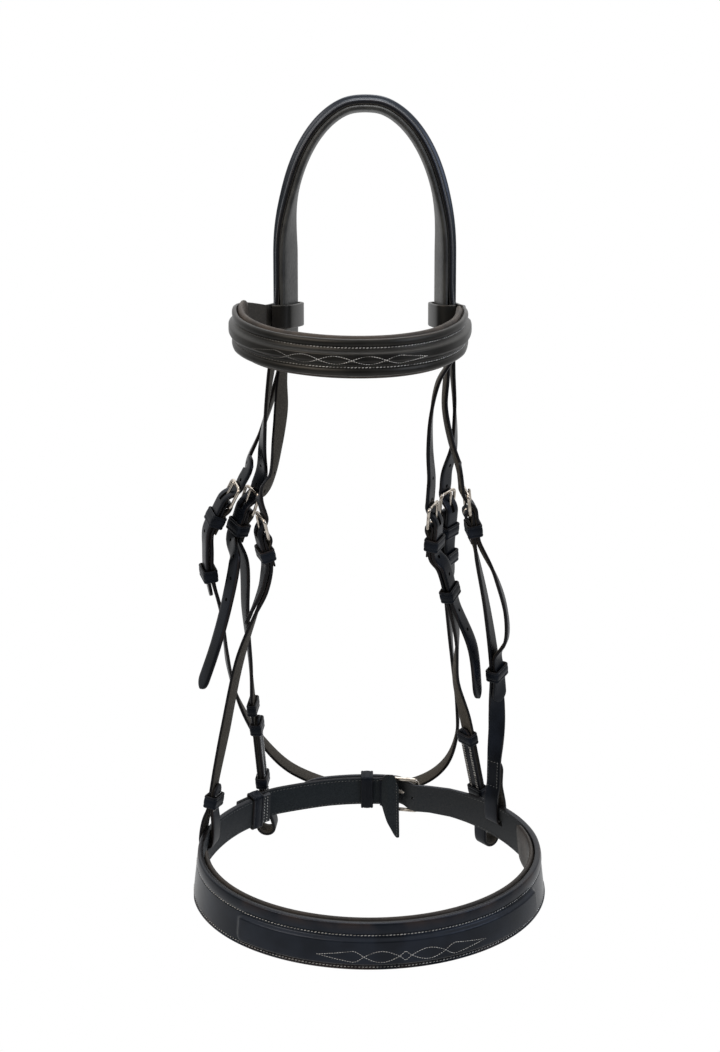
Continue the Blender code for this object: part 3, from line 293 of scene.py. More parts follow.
def tip(knots: Sequence[Knot], length: float, end_share: float = 0.16) -> list[Knot]:
    """Round off the end of a strap with knots past its last one, ever narrower.

    Args:
        knots: The strap's knots.
        length: Length of the rounded point.
        end_share: Share of the width that is left at the very end.

    Returns:
        The knots with the point's own added.
    """
    last, before = knots[-1], knots[-2]
    along = (last.point - before.point).normalized()
    result = list(knots)
    for step_share in TIP_SHARES:
        narrow = max(sqrt(1 - step_share * step_share), end_share)
        result.append(replace(last, point=last.point + along * length * step_share, width=last.width * narrow))
    return result


class Seat:
    """Local axes of a buckle or a strap end: across, up the strap, and out from the horse."""

    def __init__(self, origin: Vector, up: Vector, out: Vector) -> None:
        """Square the axes up.

        Args:
            origin: Middle of the heel bar, or of the strap.
            up: Way towards the strap's start.
            out: Rough way out from the horse.
        """
        self.origin = origin
        self.up = up.normalized()
        self.out = (out - self.up * out.dot(self.up)).normalized()
        self.across = self.up.cross(self.out)

    def at(self, across: float, up: float, out: float) -> Vector:
        """World point of a place in local axes."""
        return self.origin + self.across * across + self.up * up + self.out * out

    def knot(self, up: float, out: float, thick: float = STOCK.thick, width: float = STOCK.width,
             face: Optional[Vector] = None) -> Knot:
        """Knot on the seat's middle line."""
        return Knot(self.at(0, up, out), face or self.out, width, thick)

    def box(self, low: Sequence[float], high: Sequence[float]) -> "Solid":
        """Box between two corners in local axes, for cutting.

        Args:
            low: Its corner with the lowest across, up and out.
            high: The opposite corner.

        Returns:
            The box.
        """
        corners = [self.at(x, y, z) for x in (low[0], high[0]) for y in (low[1], high[1])
                   for z in (low[2], high[2])]
        faces = [(0, 1, 3, 2), (4, 6, 7, 5), (0, 4, 5, 1), (2, 3, 7, 6), (0, 2, 6, 4), (1, 5, 7, 3)]
        return Solid(corners, faces)


def seat_from(table: Table) -> Seat:
    """Buckle seat from a table of its heel and toe."""
    heel, toe = place(table[0]), place(table[1])
    return Seat(heel, toe - heel, facing(table[0][3]))


def put(name: str, data: bpy.types.ID) -> bpy.types.Object:
    """Make an object of some data and link it to the scene.

    Args:
        name: Name of the object.
        data: Its mesh, lamp or camera.

    Returns:
        The object.
    """
    item = bpy.data.objects.new(name, data)
    bpy.context.scene.collection.objects.link(item)
    return item


def baked(item: bpy.types.Object) -> bpy.types.Mesh:
    """Take the modifiers off an object and keep what they made.

    Args:
        item: The object.

    Returns:
        Mesh of what they made.
    """
    bpy.context.view_layer.update()
    mesh = bpy.data.meshes.new_from_object(item.evaluated_get(bpy.context.evaluated_depsgraph_get()))
    item.modifiers.clear()
    return mesh


@dataclass
class Solid:
    """Plain geometry with its two maps: place along and across, and side with distance from the edge."""

    points: list[Vector]
    faces: list[tuple[int, ...]]
    lay: list[tuple[float, float]] = field(default_factory=list)
    skin: list[tuple[float, float]] = field(default_factory=list)

    def to_object(self, name: str) -> bpy.types.Object:
        """Make a mesh object with outward faces and both maps.

        Args:
            name: Name of the object.

        Returns:
            The object, linked to the scene.
        """
        mesh = bpy.data.meshes.new(name)
        mesh.from_pydata([tuple(p) for p in self.points], [], self.faces)
        for title, values in (("lay_map", self.lay), ("skin_map", self.skin)):
            layer = mesh.uv_layers.new(name=title)
            if values:
                for loop in mesh.loops:
                    layer.data[loop.index].uv = values[loop.vertex_index]
        model = bmesh.new()
        model.from_mesh(mesh)
        bmesh.ops.recalc_face_normals(model, faces=model.faces)
        model.to_mesh(mesh)
        model.free()
        mesh.shade_smooth()
        mesh.set_sharp_from_angle(angle=CRISP)
        return put(name, mesh)


def merge(solids: Sequence[Solid]) -> Solid:
    """Put several solids side by side in one.

    Args:
        solids: The solids, with or without maps.

    Returns:
        One solid with both maps.
    """
    whole = Solid([], [], [], [])
    for solid in solids:
        start = len(whole.points)
        whole.points += solid.points
        whole.faces += [tuple(start + i for i in face) for face in solid.faces]
        whole.lay += solid.lay or [(0.0, 0.0)] * len(solid.points)
        whole.skin += solid.skin or [(0.5, 0.0)] * len(solid.points)
    return whole


def combine(item: bpy.types.Object, helpers: Sequence[Solid], cut: Cut) -> None:
    """Join or cut a piece with helper solids and keep the result as its mesh.

    Args:
        item: The piece.
        helpers: Solids that don't touch one another.
        cut: What the helpers do.
    """
    helper = merge(helpers).to_object(f"{item.name}_helper")
    step = item.modifiers.new("cut", "BOOLEAN")
    step.operation = cut.value
    step.solver = "EXACT"
    step.object = helper
    item.data = baked(item)
    bpy.data.objects.remove(helper, do_unlink=True)
    item.data.shade_smooth()
    item.data.set_sharp_from_angle(angle=CRISP)


def loft(rings: Sequence[Sequence[Vector]], closed: bool = False) -> Solid:
    """Tube through rings of points, with flat ends where it isn't closed.

    Args:
        rings: Rings with the same count of points.
        closed: Whether the last ring meets the first.

    Returns:
        The tube.
    """
    count = len(rings[0])
    faces: list[tuple[int, ...]] = []
    for i in range(len(rings) if closed else len(rings) - 1):
        here, there = i * count, ((i + 1) % len(rings)) * count
        for j in range(count):
            k = (j + 1) % count
            faces.append((here + j, here + k, there + k, there + j))
    if not closed:
        faces.append(tuple(range(count - 1, -1, -1)))
        faces.append(tuple(range((len(rings) - 1) * count, len(rings) * count)))
    return Solid([p for ring in rings for p in ring], faces)


def circle(middle: Vector, first: Vector, second: Vector, radius: float, count: int) -> list[Vector]:
    """Points round a circle.

    Args:
        middle: Its middle.
        first, second: Two directions square to each other in its plane.
        radius: Its radius.
        count: How many points.

    Returns:
        The points, from the first direction towards the second.
    """
    turns = [2 * pi * k / count for k in range(count)]
    return [middle + first * radius * cos(turn) + second * radius * sin(turn) for turn in turns]


def rounded_box(half: float, low: float, high: float, corner: float, steps: int) -> list[Table]:
    """Corners of a rounded rectangle.

    Args:
        half: Half of its width.
        low, high: Heights of its two level sides.
        corner: Radius of the corners.
        steps: Steps in each corner.

    Returns:
        Four corners from the upper right one on, each a row of places with the degrees that they face.
    """
    centres = ((half - corner, high - corner, 0), (corner - half, high - corner, 90),
               (corner - half, low + corner, 180), (half - corner, low + corner, 270))
    result = []
    for across, up, start in centres:
        faced = [start + 90 * k / steps for k in range(steps + 1)]
        result.append(tuple((across + corner * cos(radians(d)), up + corner * sin(radians(d)), d) for d in faced))
    return result


def mirror(points: Outline) -> Outline:
    """The same points on the other side of the middle, in reverse."""
    return [(-across, out, grain) for across, out, grain in reversed(points)]


def strap_outline(width: float, thick: float) -> Outline:
    """Cut strap: a slightly crowned grain side, eased edges and a flat flesh side.

    Args:
        width: Its width.
        thick: Its thickness.

    Returns:
        The outline.
    """
    half, deep = width / 2, thick / 2
    ease = min(STOCK.edge_round, deep * 0.8, half * 0.4)
    grain = [(half, 0.0, 0.5), (half - ease * 0.25, deep - ease * 0.45, 0.8), (half - ease, deep * 0.96, 1.0),
             (half * 0.62, deep, 1.0), (0.0, deep * 1.02, 1.0)]
    flesh = [(0.0, -deep, 0.0), (half - ease, -deep, 0.0), (half - ease * 0.25, -deep + ease * 0.45, 0.2)]
    return grain + mirror(grain[:-1]) + mirror(flesh[1:]) + flesh


def pad_outline(width: float, thick: float) -> Outline:
    """Padded strip: soft leather round a filling, fullest in the middle.

    Args:
        width: Its width.
        thick: Its thickness.

    Returns:
        The outline.
    """
    points = []
    for k in range(24):
        aside, level = cos(2 * pi * k / 24), sin(2 * pi * k / 24)
        points.append((width / 2 * abs(aside) ** 0.55 * (1 if aside >= 0 else -1),
                       thick / 2 * abs(level) ** 0.7 * (1 if level >= 0 else -1), 1.0))
    return points


def sweep(stations: Sequence[Station], outline: Callable[..., Outline] = strap_outline,
          closed: bool = False, levels: Optional[Sequence[float]] = None) -> Solid:
    """A strap that follows its stations, with its maps.

    Args:
        stations: Cross-sections in order.
        outline: Function that gives the outline for a width, a thickness and, with levels, a level.
        closed: Whether the strap meets itself.
        levels: Extra value for each station's outline.

    Returns:
        The strap's solid.
    """
    rings, lay, skin = [], [], []
    length = 0.0
    for i, s in enumerate(stations):
        length += (s.point - stations[i - 1].point).length if i else 0.0
        points = outline(s.width, s.thick, levels[i]) if levels else outline(s.width, s.thick)
        rings.append([s.at(a, o) for a, o, _ in points])
        lay += [(length, a) for a, _, _ in points]
        skin += [(g, max(s.width / 2 - abs(a), 0.0) * 1000) for a, _, g in points]
    solid = loft(rings, closed)
    solid.lay, solid.skin = lay, skin
    return solid


def dress(item: bpy.types.Object, node: str, finish: bpy.types.Material) -> bpy.types.Object:
    """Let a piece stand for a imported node, ride with its body and take its finish.

    Args:
        item: The piece, in place.
        node: Name of the node.
        finish: Its material.

    Returns:
        The piece.
    """
    item.data.materials.clear()
    item.data.materials.append(finish)
    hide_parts(node)
    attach(item, NODE_BODY[node])
    LOG.info("%s: %d faces", item.name, len(item.data.polygons))
    return item


def make_piece(node: str, solid: Solid, finish: bpy.types.Material,
               cutters: Sequence[Solid] = ()) -> bpy.types.Object:
    """Turn a solid into the piece that stands for a node.

    Args:
        node: Name of the node.
        solid: Its shape.
        finish: Its material.
        cutters: Solids taken out of it.

    Returns:
        The finished piece.
    """
    item = solid.to_object(f"{node}_piece")
    if cutters:
        combine(item, cutters, Cut.REMOVE)
    return dress(item, node, finish)


# finishes


def linear(code: str) -> tuple[float, float, float, float]:
    """Linear colour of an sRGB hex value."""
    parts = [int(code[i:i + 2], 16) / 255 for i in (1, 3, 5)]
    return (*(c / 12.92 if c <= 0.04045 else ((c + 0.055) / 1.055) ** 2.4 for c in parts), 1.0)


class Nodes:
    """A node tree, with one way to add to it."""

    def __init__(self, tree: bpy.types.NodeTree) -> None:
        """Take a tree."""
        self.tree = tree

    def add(self, kind: str, links: dict, **settings: object) -> bpy.types.Node:
        """Add a node with its settings and links.

        Args:
            kind: Blender's name of the node type.
            links: For each input, by name or index, a value or another node's output.
            settings: Properties of the node.

        Returns:
            The node.
        """
        node = self.tree.nodes.new(kind)
        for key, value in settings.items():
            setattr(node, key, value)
        for key, value in links.items():
            if isinstance(value, bpy.types.NodeSocket):
                self.tree.links.new(value, node.inputs[key])
            else:
                node.inputs[key].default_value = value
        return node

    def out(self, kind: str, links: dict, output: object = 0, **settings: object) -> bpy.types.NodeSocket:
        """Add a node and give one of its outputs, by name or index."""
        return self.add(kind, links, **settings).outputs[output]

    def math(self, operation: str, *values: object) -> bpy.types.NodeSocket:
        """Output of a Math node."""
        return self.out("ShaderNodeMath", dict(enumerate(values)), operation=operation)

    def ramp(self, value: bpy.types.NodeSocket, low: float, high: float, start: float = 0.0, end: float = 1.0,
             smooth: bool = True) -> bpy.types.NodeSocket:
        """Start to end as the value goes from low to high."""
        links = {"Value": value, "From Min": low, "From Max": high, "To Min": start, "To Max": end}
        return self.out("ShaderNodeMapRange", links, interpolation_type="SMOOTHSTEP" if smooth else "LINEAR")


class Finish(Nodes):
    """A material's nodes; its noises are sized in millimetres of the object's own coordinates."""

    def __init__(self, name: str) -> None:
        """Start a material that has only its shader and output.

        Args:
            name: Name of the material.
        """
        self.material = bpy.data.materials.new(name)
        self.material.use_nodes = True
        super().__init__(self.material.node_tree)
        self.shader = self.tree.nodes["Principled BSDF"]
        spot = self.out("ShaderNodeTexCoord", {}, "Object")
        self.spot = self.out("ShaderNodeVectorMath", {0: spot, "Scale": 1000.0}, operation="SCALE")

    def noise(self, size_mm: float, detail: float) -> bpy.types.NodeSocket:
        """Noise whose blobs are about size_mm across."""
        return self.out("ShaderNodeTexNoise", {"Vector": self.spot, "Scale": 1.0 / size_mm, "Detail": detail}, "Fac")

    def axis(self, name: str) -> bpy.types.NodeSocket:
        """One of the object's coordinates."""
        return self.out("ShaderNodeSeparateXYZ", {0: self.spot}, name)

    def mix(self, share: object, first: object, second: object) -> bpy.types.NodeSocket:
        """Colour between two, each a hex value or an output."""
        first, second = (linear(c) if isinstance(c, str) else c for c in (first, second))
        return self.out("ShaderNodeMix", {0: share, 6: first, 7: second}, 2, data_type="RGBA")

    def uniform(self, **values: object) -> None:
        """Set inputs of the shader that have one value everywhere; an underscore stands for a space."""
        for key, value in values.items():
            self.shader.inputs[key.replace("_", " ")].default_value = value

    def wire(self, **sockets: bpy.types.NodeSocket) -> None:
        """Link outputs to the shader's inputs; an underscore stands for a space."""
        for key, socket in sockets.items():
            self.tree.links.new(socket, self.shader.inputs[key.replace("_", " ")])

    def around(self, middle: float, noise: bpy.types.NodeSocket, spread: float) -> bpy.types.NodeSocket:
        """Value that a noise varies about its middle."""
        return self.math("MULTIPLY_ADD", noise, spread, middle - spread / 2)

    def done(self, colour: bpy.types.NodeSocket, roughness: bpy.types.NodeSocket, height: bpy.types.NodeSocket,
             depth_mm: float, strength: float) -> bpy.types.Material:
        """Finish the material.

        Args:
            colour: Its colour.
            roughness: Its roughness.
            height: Its relief.
            depth_mm: How deep a whole step of the relief is.
            strength: How much of it shows.

        Returns:
            The material.
        """
        bump = {"Height": height, "Distance": depth_mm / 1000, "Strength": strength}
        self.wire(Base_Color=colour, Roughness=roughness, Normal=self.out("ShaderNodeBump", bump, "Normal"))
        return self.material


@dataclass(frozen=True)
class BridleLeather:
    """Vegetable-tanned strap butt, dyed black and waxed: satin grain side, fibrous grey-brown flesh side,
    edges dressed dark, and a creased line pressed in near each edge."""

    name: str = "black_bridle_leather"
    grain_dark: str = "#07090d"
    grain_light: str = "#12161d"
    worn: str = "#2b221c"
    sheen_tint: str = "#c9d3e6"
    flesh_dark: str = "#37342f"
    flesh_light: str = "#4b4741"
    edge: str = "#100e0d"
    roughness: float = 0.42
    gloss: float = 0.13
    relief: float = 0.5         # strength of pores, fibres and creases
    dull_below: Optional[float] = None      # height above which the grain is painted lighter, a painted sheen, and the gloss is raised; under it the strap has the plain colour and gloss
    rubbed_mm: float = 1.1      # how far in from an edge the black turns brown: rubbed wear on a narrow margin, a painted warm highlight on a wide one
    crease_mm: float = 1.7
    crease_share: float = 1.0

    def build(self) -> bpy.types.Material:
        """Make the material.

        Returns:
            The material.
        """
        n = Finish(self.name)
        skin = n.add("ShaderNodeSeparateXYZ", {0: n.out("ShaderNodeUVMap", {}, uv_map="skin_map")}).outputs
        side, margin = skin["X"], skin["Y"]
        cloud = n.noise(22.0, 2.0)              # dye takes unevenly over a hand's width
        pores = n.noise(0.55, 3.0)              # grain pores, as fine as the eye takes in at arm's length
        fibres = n.noise(0.8, 5.0)
        grain = n.mix(n.ramp(cloud, 0.35, 0.68), self.grain_dark, self.grain_light)
        n.uniform(Specular_IOR_Level=self.gloss, Specular_Tint=linear(self.sheen_tint))
        # above the given height the grain takes this leather's lighter colours, a painted sheen where the crown catches
        # the light, and its higher gloss
        if self.dull_below is not None:
            plain = BridleLeather
            gloss_and_painted_sheen = n.ramp(n.axis("Z"), (self.dull_below - 0.012) * 1000, self.dull_below * 1000)
            grain = n.mix(gloss_and_painted_sheen, n.mix(n.ramp(cloud, 0.35, 0.68), plain.grain_dark, plain.grain_light), grain)
            n.wire(Specular_IOR_Level=n.math("MULTIPLY_ADD", gloss_and_painted_sheen, self.gloss - plain.gloss, plain.gloss))
        # brown by the edges in cloudy patches: real rubbed wear where the margin is narrow, painted warm highlight
        # where it is wide, as on the raised noseband's rolls
        wear_and_sheen = n.math("MULTIPLY", n.ramp(margin, 0.2, self.rubbed_mm, 1.0, 0.0), n.ramp(cloud, 0.42, 0.62))
        grain = n.mix(n.math("MULTIPLY", wear_and_sheen, 0.75), grain, self.worn)
        flesh = n.mix(n.ramp(fibres, 0.32, 0.70), self.flesh_dark, self.flesh_light)
        is_grain, is_flesh = n.ramp(side, 0.62, 0.80), n.ramp(side, 0.06, 0.24, 1.0, 0.0)
        colour = n.mix(is_flesh, n.mix(is_grain, self.edge, grain), flesh)
        crease = n.ramp(n.math("ABSOLUTE", n.math("SUBTRACT", margin, self.crease_mm)), 0.0, 0.45, 1.0, 0.0)
        crease = n.math("MULTIPLY", crease, n.math("MULTIPLY", is_grain, self.crease_share))
        rough = n.math("MULTIPLY_ADD", is_flesh, 0.40, n.around(self.roughness, pores, 0.16))
        height = n.math("MULTIPLY_ADD", pores, 0.35, n.math("MULTIPLY", fibres, 0.30))
        return n.done(colour, rough, n.math("MULTIPLY_ADD", crease, -1.4, height), 0.16, self.relief)


@dataclass(frozen=True)
class LiningLeather:
    """Soft lining leather over padding, dark brown gone grey with handling, with a fine wrinkle."""

    name: str = "soft_lining_leather"
    dark: str = "#241f1b"
    light: str = "#3d352e"
    roughness: float = 0.58
    gloss: float = 0.30

    def build(self) -> bpy.types.Material:
        """Make the material.

        Returns:
            The material.
        """
        n = Finish(self.name)
        cloud, wrinkle = n.noise(15.0, 3.0), n.noise(2.4, 5.0)
        colour = n.mix(n.ramp(cloud, 0.3, 0.7), self.dark, self.light)
        colour = n.mix(n.math("MULTIPLY", n.ramp(wrinkle, 0.55, 0.75), 0.35), colour, self.dark)
        n.uniform(Specular_IOR_Level=self.gloss)
        return n.done(colour, n.around(self.roughness, wrinkle, 0.2), wrinkle, 0.35, 0.6)


@dataclass(frozen=True)
class LinenThread:
    """Waxed linen thread: pale grey, dull, darker where wax and dye have soiled it."""

    name: str = "waxed_linen_thread"
    pale: str = "#b4b4b2"
    soiled: str = "#6b6a68"
    roughness: float = 0.62
    clean_from: tuple[float, float] = (-1.0, -0.9)      # across the bridle, where soiled thread turns clean

    def build(self) -> bpy.types.Material:
        """Make the material.

        Returns:
            The material.
        """
        n = Finish(self.name)
        dirt, twist = n.noise(7.0, 3.0), n.noise(0.5, 2.0)
        colour = n.mix(n.ramp(dirt, 0.45, 0.75), self.pale, self.soiled)
        clean = n.ramp(n.axis("X"), *(at * 1000 for at in self.clean_from))
        return n.done(n.mix(clean, self.soiled, colour), n.around(self.roughness, twist, 0.2), twist, 0.12, 0.6)


@dataclass(frozen=True)
class StainlessSteel:
    """Polished stainless buckle wire: bright, faintly warm, with fine rub marks that blur it in patches."""

    name: str = "polished_stainless_steel"
    bright: str = "#b9b1a7"
    dull: str = "#8e867c"
    roughness: float = 0.20

    def build(self) -> bpy.types.Material:
        """Make the material.

        Returns:
            The material.
        """
        n = Finish(self.name)
        rub = n.noise(3.0, 5.0)
        n.uniform(Metallic=1.0)
        colour = n.mix(n.ramp(rub, 0.35, 0.7), self.bright, self.dull)
        return n.done(colour, n.around(self.roughness, rub, 0.16), rub, 0.03, 0.12)


def made(kind: type, **looks: object) -> bpy.types.Material:
    """Field for a material of a kind with its own looks, made together with its owner."""
    return field(default_factory=lambda: kind(**looks).build())


@dataclass
class Finishes:
    """Every material of the bridle, made once."""

    strap: bpy.types.Material = made(BridleLeather)
    # its black turns brown up to 8 mm in from each edge: rubbed wear at the very edge, painted warm highlight along the
    # noseband's rolls beyond it
    raised: bpy.types.Material = made(
        BridleLeather, name="raised_bridle_leather", crease_share=0.0, roughness=0.31, gloss=0.26, rubbed_mm=8.0,
        worn="#2a211b", flesh_dark="#1d2022", flesh_light="#2b2c2c")
    lined: bpy.types.Material = made(
        BridleLeather, name="lined_bridle_leather", flesh_dark="#191d20", flesh_light="#262a2c")
    # the crown's lighter grain colours, above the browband only, are painted sheen; its gloss and roughness are its own
    crown: bpy.types.Material = made(
        BridleLeather, name="crown_bridle_leather", roughness=0.28, gloss=0.46, grain_dark="#111418",
        grain_light="#202428", crease_share=0.7, relief=0.25, dull_below=-0.150)
    brow: bpy.types.Material = made(
        BridleLeather, name="browband_bridle_leather", crease_share=0.0, roughness=0.36, grain_dark="#0c0c0c",
        grain_light="#191918", sheen_tint="#e8e4dc", gloss=0.26, flesh_dark="#2f2d2a", flesh_light="#3e3b37")
    lining: bpy.types.Material = made(LiningLeather)
    crown_lining: bpy.types.Material = made(
        LiningLeather, name="crown_lining_leather", dark="#181919", light="#31312f", roughness=0.45)
    noseband_lining: bpy.types.Material = made(
        LiningLeather, name="noseband_lining_leather", dark="#1b1815", light="#2e2823")
    thread: bpy.types.Material = made(LinenThread)
    brow_thread: bpy.types.Material = made(
        LinenThread, name="browband_linen_thread", pale="#c6c5c2", soiled="#474542", clean_from=(-0.075, -0.02))
    dull_thread: bpy.types.Material = made(
        LinenThread, name="soiled_linen_thread", pale="#4c4d4c", soiled="#34373a")
    steel: bpy.types.Material = made(StainlessSteel)


# buckles and keepers


@dataclass
class Buckle:
    """A wire buckle frame with its curled tongue."""

    seat: Seat
    finishes: Finishes
    reach: float = STOCK.reach
    strap_width: float = STOCK.width
    wire: float = STOCK.wire
    tongue_wire: float = STOCK.tongue_wire

    @property
    def curl(self) -> float:
        """Middle of the tongue's curl, out from the heel bar's middle."""
        return self.wire + STOCK.gap + self.tongue_wire

    @property
    def half_slot(self) -> float:
        """Half of the width of a cut that the tongue goes through."""
        return self.tongue_wire + STOCK.tongue_slack

    def frame_solid(self) -> Solid:
        """Closed wire with rounded corners in the seat's plane.

        Returns:
            The wire.
        """
        seat, half = self.seat, self.strap_width / 2 + STOCK.side_slack + self.wire
        rings = []
        for corner in rounded_box(half, 0.0, self.reach, STOCK.corner, 8):
            for across, up, degrees in corner:
                away = seat.across * cos(radians(degrees)) + seat.up * sin(radians(degrees))
                rings.append(circle(seat.at(across, up, 0), away, seat.out, self.wire, 14))
        return loft(rings, closed=True)

    def tongue_solid(self) -> Solid:
        """Wire curled round the heel bar, lying on the front of the toe bar, thinner to its end.

        Returns:
            The wire.
        """
        curl, seat = self.curl, self.seat
        path = [(curl * sin(radians(d)), curl * cos(radians(d))) for d in range(-270, 1, 15)]
        path += [(self.reach * share, curl) for share in (0.12, 0.3, 0.5, 0.7, 0.86)]
        path += [(self.reach + STOCK.tongue_past * share, curl - STOCK.gap * share / 2) for share in (0, 0.6, 0.85, 1)]
        rings = []
        for i, (up, out) in enumerate(path):
            ahead, behind = path[min(i + 1, len(path) - 1)], path[max(i - 1, 0)]
            along = Vector((ahead[0] - behind[0], ahead[1] - behind[1])).normalized()
            radius = self.tongue_wire * (1, 0.94, 0.7, 0.35)[max(0, i - len(path) + 4)]
            square = seat.out * along.x - seat.up * along.y
            rings.append(circle(seat.at(0, up, out), seat.across, square, radius, 12))
        return loft(rings)

    def build(self, frame_node: str, tongue_node: str) -> None:
        """Make the frame and its tongue, each for its own node."""
        make_piece(frame_node, self.frame_solid(), self.finishes.steel)
        make_piece(tongue_node, self.tongue_solid(), self.finishes.steel)

    def tongue_slot(self) -> Solid:
        """Cutter for the hole that the tongue passes through in its billet, long enough for its lift."""
        half, middle = self.half_slot, self.curl
        return self.seat.box((-half, self.reach * 0.12, middle - half), (half, self.reach * 0.82, middle + half * 3.8))

    def crew_hole(self) -> Solid:
        """Cutter for the slit in a turned strap end where the tongue's curl sits.

        Returns:
            The cutter.
        """
        half, past = self.half_slot, STOCK.overrun
        deep = self.curl + self.tongue_wire + STOCK.tongue_slack * 2
        return self.seat.box((-half, -deep, -deep - past), (half, deep + past / 2, deep + past))


@dataclass
class Keeper:
    """A leather loop round everything between two heights, with a pressed line by each edge."""

    seat: Seat
    low: float
    high: float
    up: float = 0.0
    width: float = STOCK.width
    length: float = 0.0095
    wall: float = 0.0014
    slack: float = 0.00035

    def outline(self, width: float, thick: float) -> Outline:
        """Cross-section of the loop's leather: beaded edges and two pressed lines.

        Args:
            width: Its width.
            thick: Its thickness.

        Returns:
            The outline.
        """
        half, deep = width / 2, thick / 2
        grain = [(half, 0.0, 0.5)]
        grain += [(half - inset, deep * share, level) for inset, share, level in (
            (0.00025, 0.75, 0.85), (0.0008, 1.05, 1.0), (0.0016, 1.08, 1.0), (0.0021, 0.62, 1.0), (0.0026, 1.02, 1.0))]
        flesh = [(-half + 0.0004, -deep, 0.1), (0.0, -deep, 0.0), (half - 0.0004, -deep, 0.1)]
        return grain + [(0.0, deep * 1.22, 1.0)] + mirror(grain) + flesh

    def solid(self) -> Solid:
        """The loop with rounded corners.

        Returns:
            The loop.
        """
        seat, half = self.seat, self.width / 2 + self.slack + self.wall / 2
        bottom, top = self.low - self.slack - self.wall / 2, self.high + self.slack + self.wall / 2
        radius = min(self.wall, (top - bottom) * 0.45)
        spots = []
        for i, corner in enumerate(rounded_box(half, bottom, top, radius, 5)):
            spots += [(across, out) for across, out, _ in corner]
            if i in (0, 2):     # the long sides also bend to their middle
                spots += [((half - radius) * (1 - i) * share, (top, 0, bottom)[i]) for share in (0.5, 0.0, -0.5)]
        middle = seat.at(0, self.up, (self.low + self.high) / 2)
        stations = []
        for i, (across, out) in enumerate(spots):
            ahead, behind = spots[(i + 1) % len(spots)], spots[i - 1]
            along = (seat.across * (ahead[0] - behind[0]) + seat.out * (ahead[1] - behind[1])).normalized()
            point, face = seat.at(across, self.up, out), seat.up.cross(along)
            face = face if face.dot(point - middle) > 0 else -face
            stations.append(Station(point, seat.up, face, self.length, self.wall))
        return sweep(stations, self.outline, closed=True)

    def build(self, node: str, finishes: Finishes) -> None:
        """Make the keeper that stands for a node."""
        make_piece(node, self.solid(), finishes.strap)


def turned(seat: Seat, radius: float, width: float = STOCK.width) -> list[Knot]:
    """Knots of a skived strap end round the heel bar, from the front of it to the back.

    Args:
        seat: Seat of the buckle.
        radius: Middle of the strap, out from the bar's middle.
        width: Width of the strap.

    Returns:
        The knots.
    """
    knots = []
    for degrees in TURN_DEGREES:
        up, out = sin(radians(degrees)), cos(radians(degrees))
        knots.append(seat.knot(radius * up, radius * out, STOCK.skived, width, seat.up * up + seat.out * out))
    return knots


def chape(seat: Seat) -> list[Knot]:
    """Knots of a strap end turned back round the heel bar and sewn down behind.

    Args:
        seat: Seat of the buckle.

    Returns:
        The knots, from the sewn-down end to the strap in front.
    """
    reach, turn = STOCK.fold_length, STOCK.turn_radius
    back = [seat.knot(-reach * share, STOCK.fold_out, STOCK.fold, face=-seat.out) for share in (1, 0.55, 0.34)]
    back.append(seat.knot(-reach * 0.13, -turn * 0.95, STOCK.skived, face=-seat.out))
    front = [seat.knot(-reach * 0.13, turn, STOCK.skived), seat.knot(-reach * 0.34, STOCK.main_out),
             seat.knot(-reach, STOCK.main_out)]
    return back + turned(seat, turn)[::-1] + front


CHAPE_COUNT = 14            # knots of a turned end
IN_USE = 4                  # which knot of a billet at its buckle lies at the tongue's hole

# along the buckle as a share of its reach, and the height: below 0 a share of the way behind the toe bar,
# above 0 a share of the way over the heel bar
STRAP_THROUGH = ((1.9, -1), (1.25, -1), (0.93, -1), (0.66, -0.2), (0.42, 0.62), (0.2, 0.95), (0, 1), (-0.5, 1),
                 (-1.4, 1))
JAW_THROUGH = ((1.5, -1), (1.15, -1), (0.92, -1), (0.68, -0.2), (0.44, 0.6), (0.2, 0.95), (0, 1))


def through_buckle(seat: Seat, plan: Table = STRAP_THROUGH, reach: float = STOCK.reach,
                   behind: float = STOCK.behind_out, over: float = STOCK.billet_out, thick: float = STOCK.thick,
                   width: float = STOCK.width) -> list[Knot]:
    """Knots of a billet that comes down behind the toe bar and out over the heel bar.

    Args:
        seat: Seat of the buckle.
        plan: Places and heights as shares.
        reach: From the heel bar to the toe bar.
        behind, over: The two heights.
        thick, width: The billet's thickness and width.

    Returns:
        The knots.
    """
    return [seat.knot(reach * up, over * level if level > 0 else -behind * level, thick, width) for up, level in plan]


def punch(station: Station) -> Solid:
    """Cutter for a round punched hole.

    Args:
        station: Cross-section of the strap at the hole.

    Returns:
        The cutter.
    """
    axis = station.out.normalized()
    side = axis.orthogonal().normalized()
    return loft([circle(station.point + axis * level, side, axis.cross(side), STOCK.hole_radius, 12)
                 for level in (-STOCK.overrun, STOCK.overrun)])


def punch_row(route: Route, start: int, counts: tuple[int, int]) -> list[Solid]:
    """Cutters for the holes above and below the one in use.

    Args:
        route: The billet's route.
        start: Station of the hole in use.
        counts: How many holes lie towards the route's start and towards its end.

    Returns:
        One cutter for each hole that the billet has room for.
    """
    cutters = []
    for count, sign in zip(counts, (-1, 1)):
        for k in range(count):
            spot = route.walk(start, sign * STOCK.hole_pitch * (k + 1))
            if spot:
                cutters.append(punch(spot))
    return cutters


def beside(route: Route, first: int, last: int) -> list[Knot]:
    """Knots of a billet lying on the front of another strap between two of its stations.

    Args:
        route: Route of the other strap.
        first, last: The two stations; the billet runs from the first to the last.

    Returns:
        The knots.
    """
    step = 1 if last >= first else -1
    return [Knot(s.point + s.out * STOCK.laid_step, s.out)
            for s in (route.stations[i] for i in range(first, last + step, step))]


def seat_on(route: Route, index: int) -> Seat:
    """Seat on a free stretch of strap, whose up runs back towards the strap's start."""
    before, after = route.stations[index - 1].point, route.stations[index + 1].point
    return Seat(route.stations[index].point, before - after, route.stations[index].out)


# crown, cheeks, throatlatch and hangers


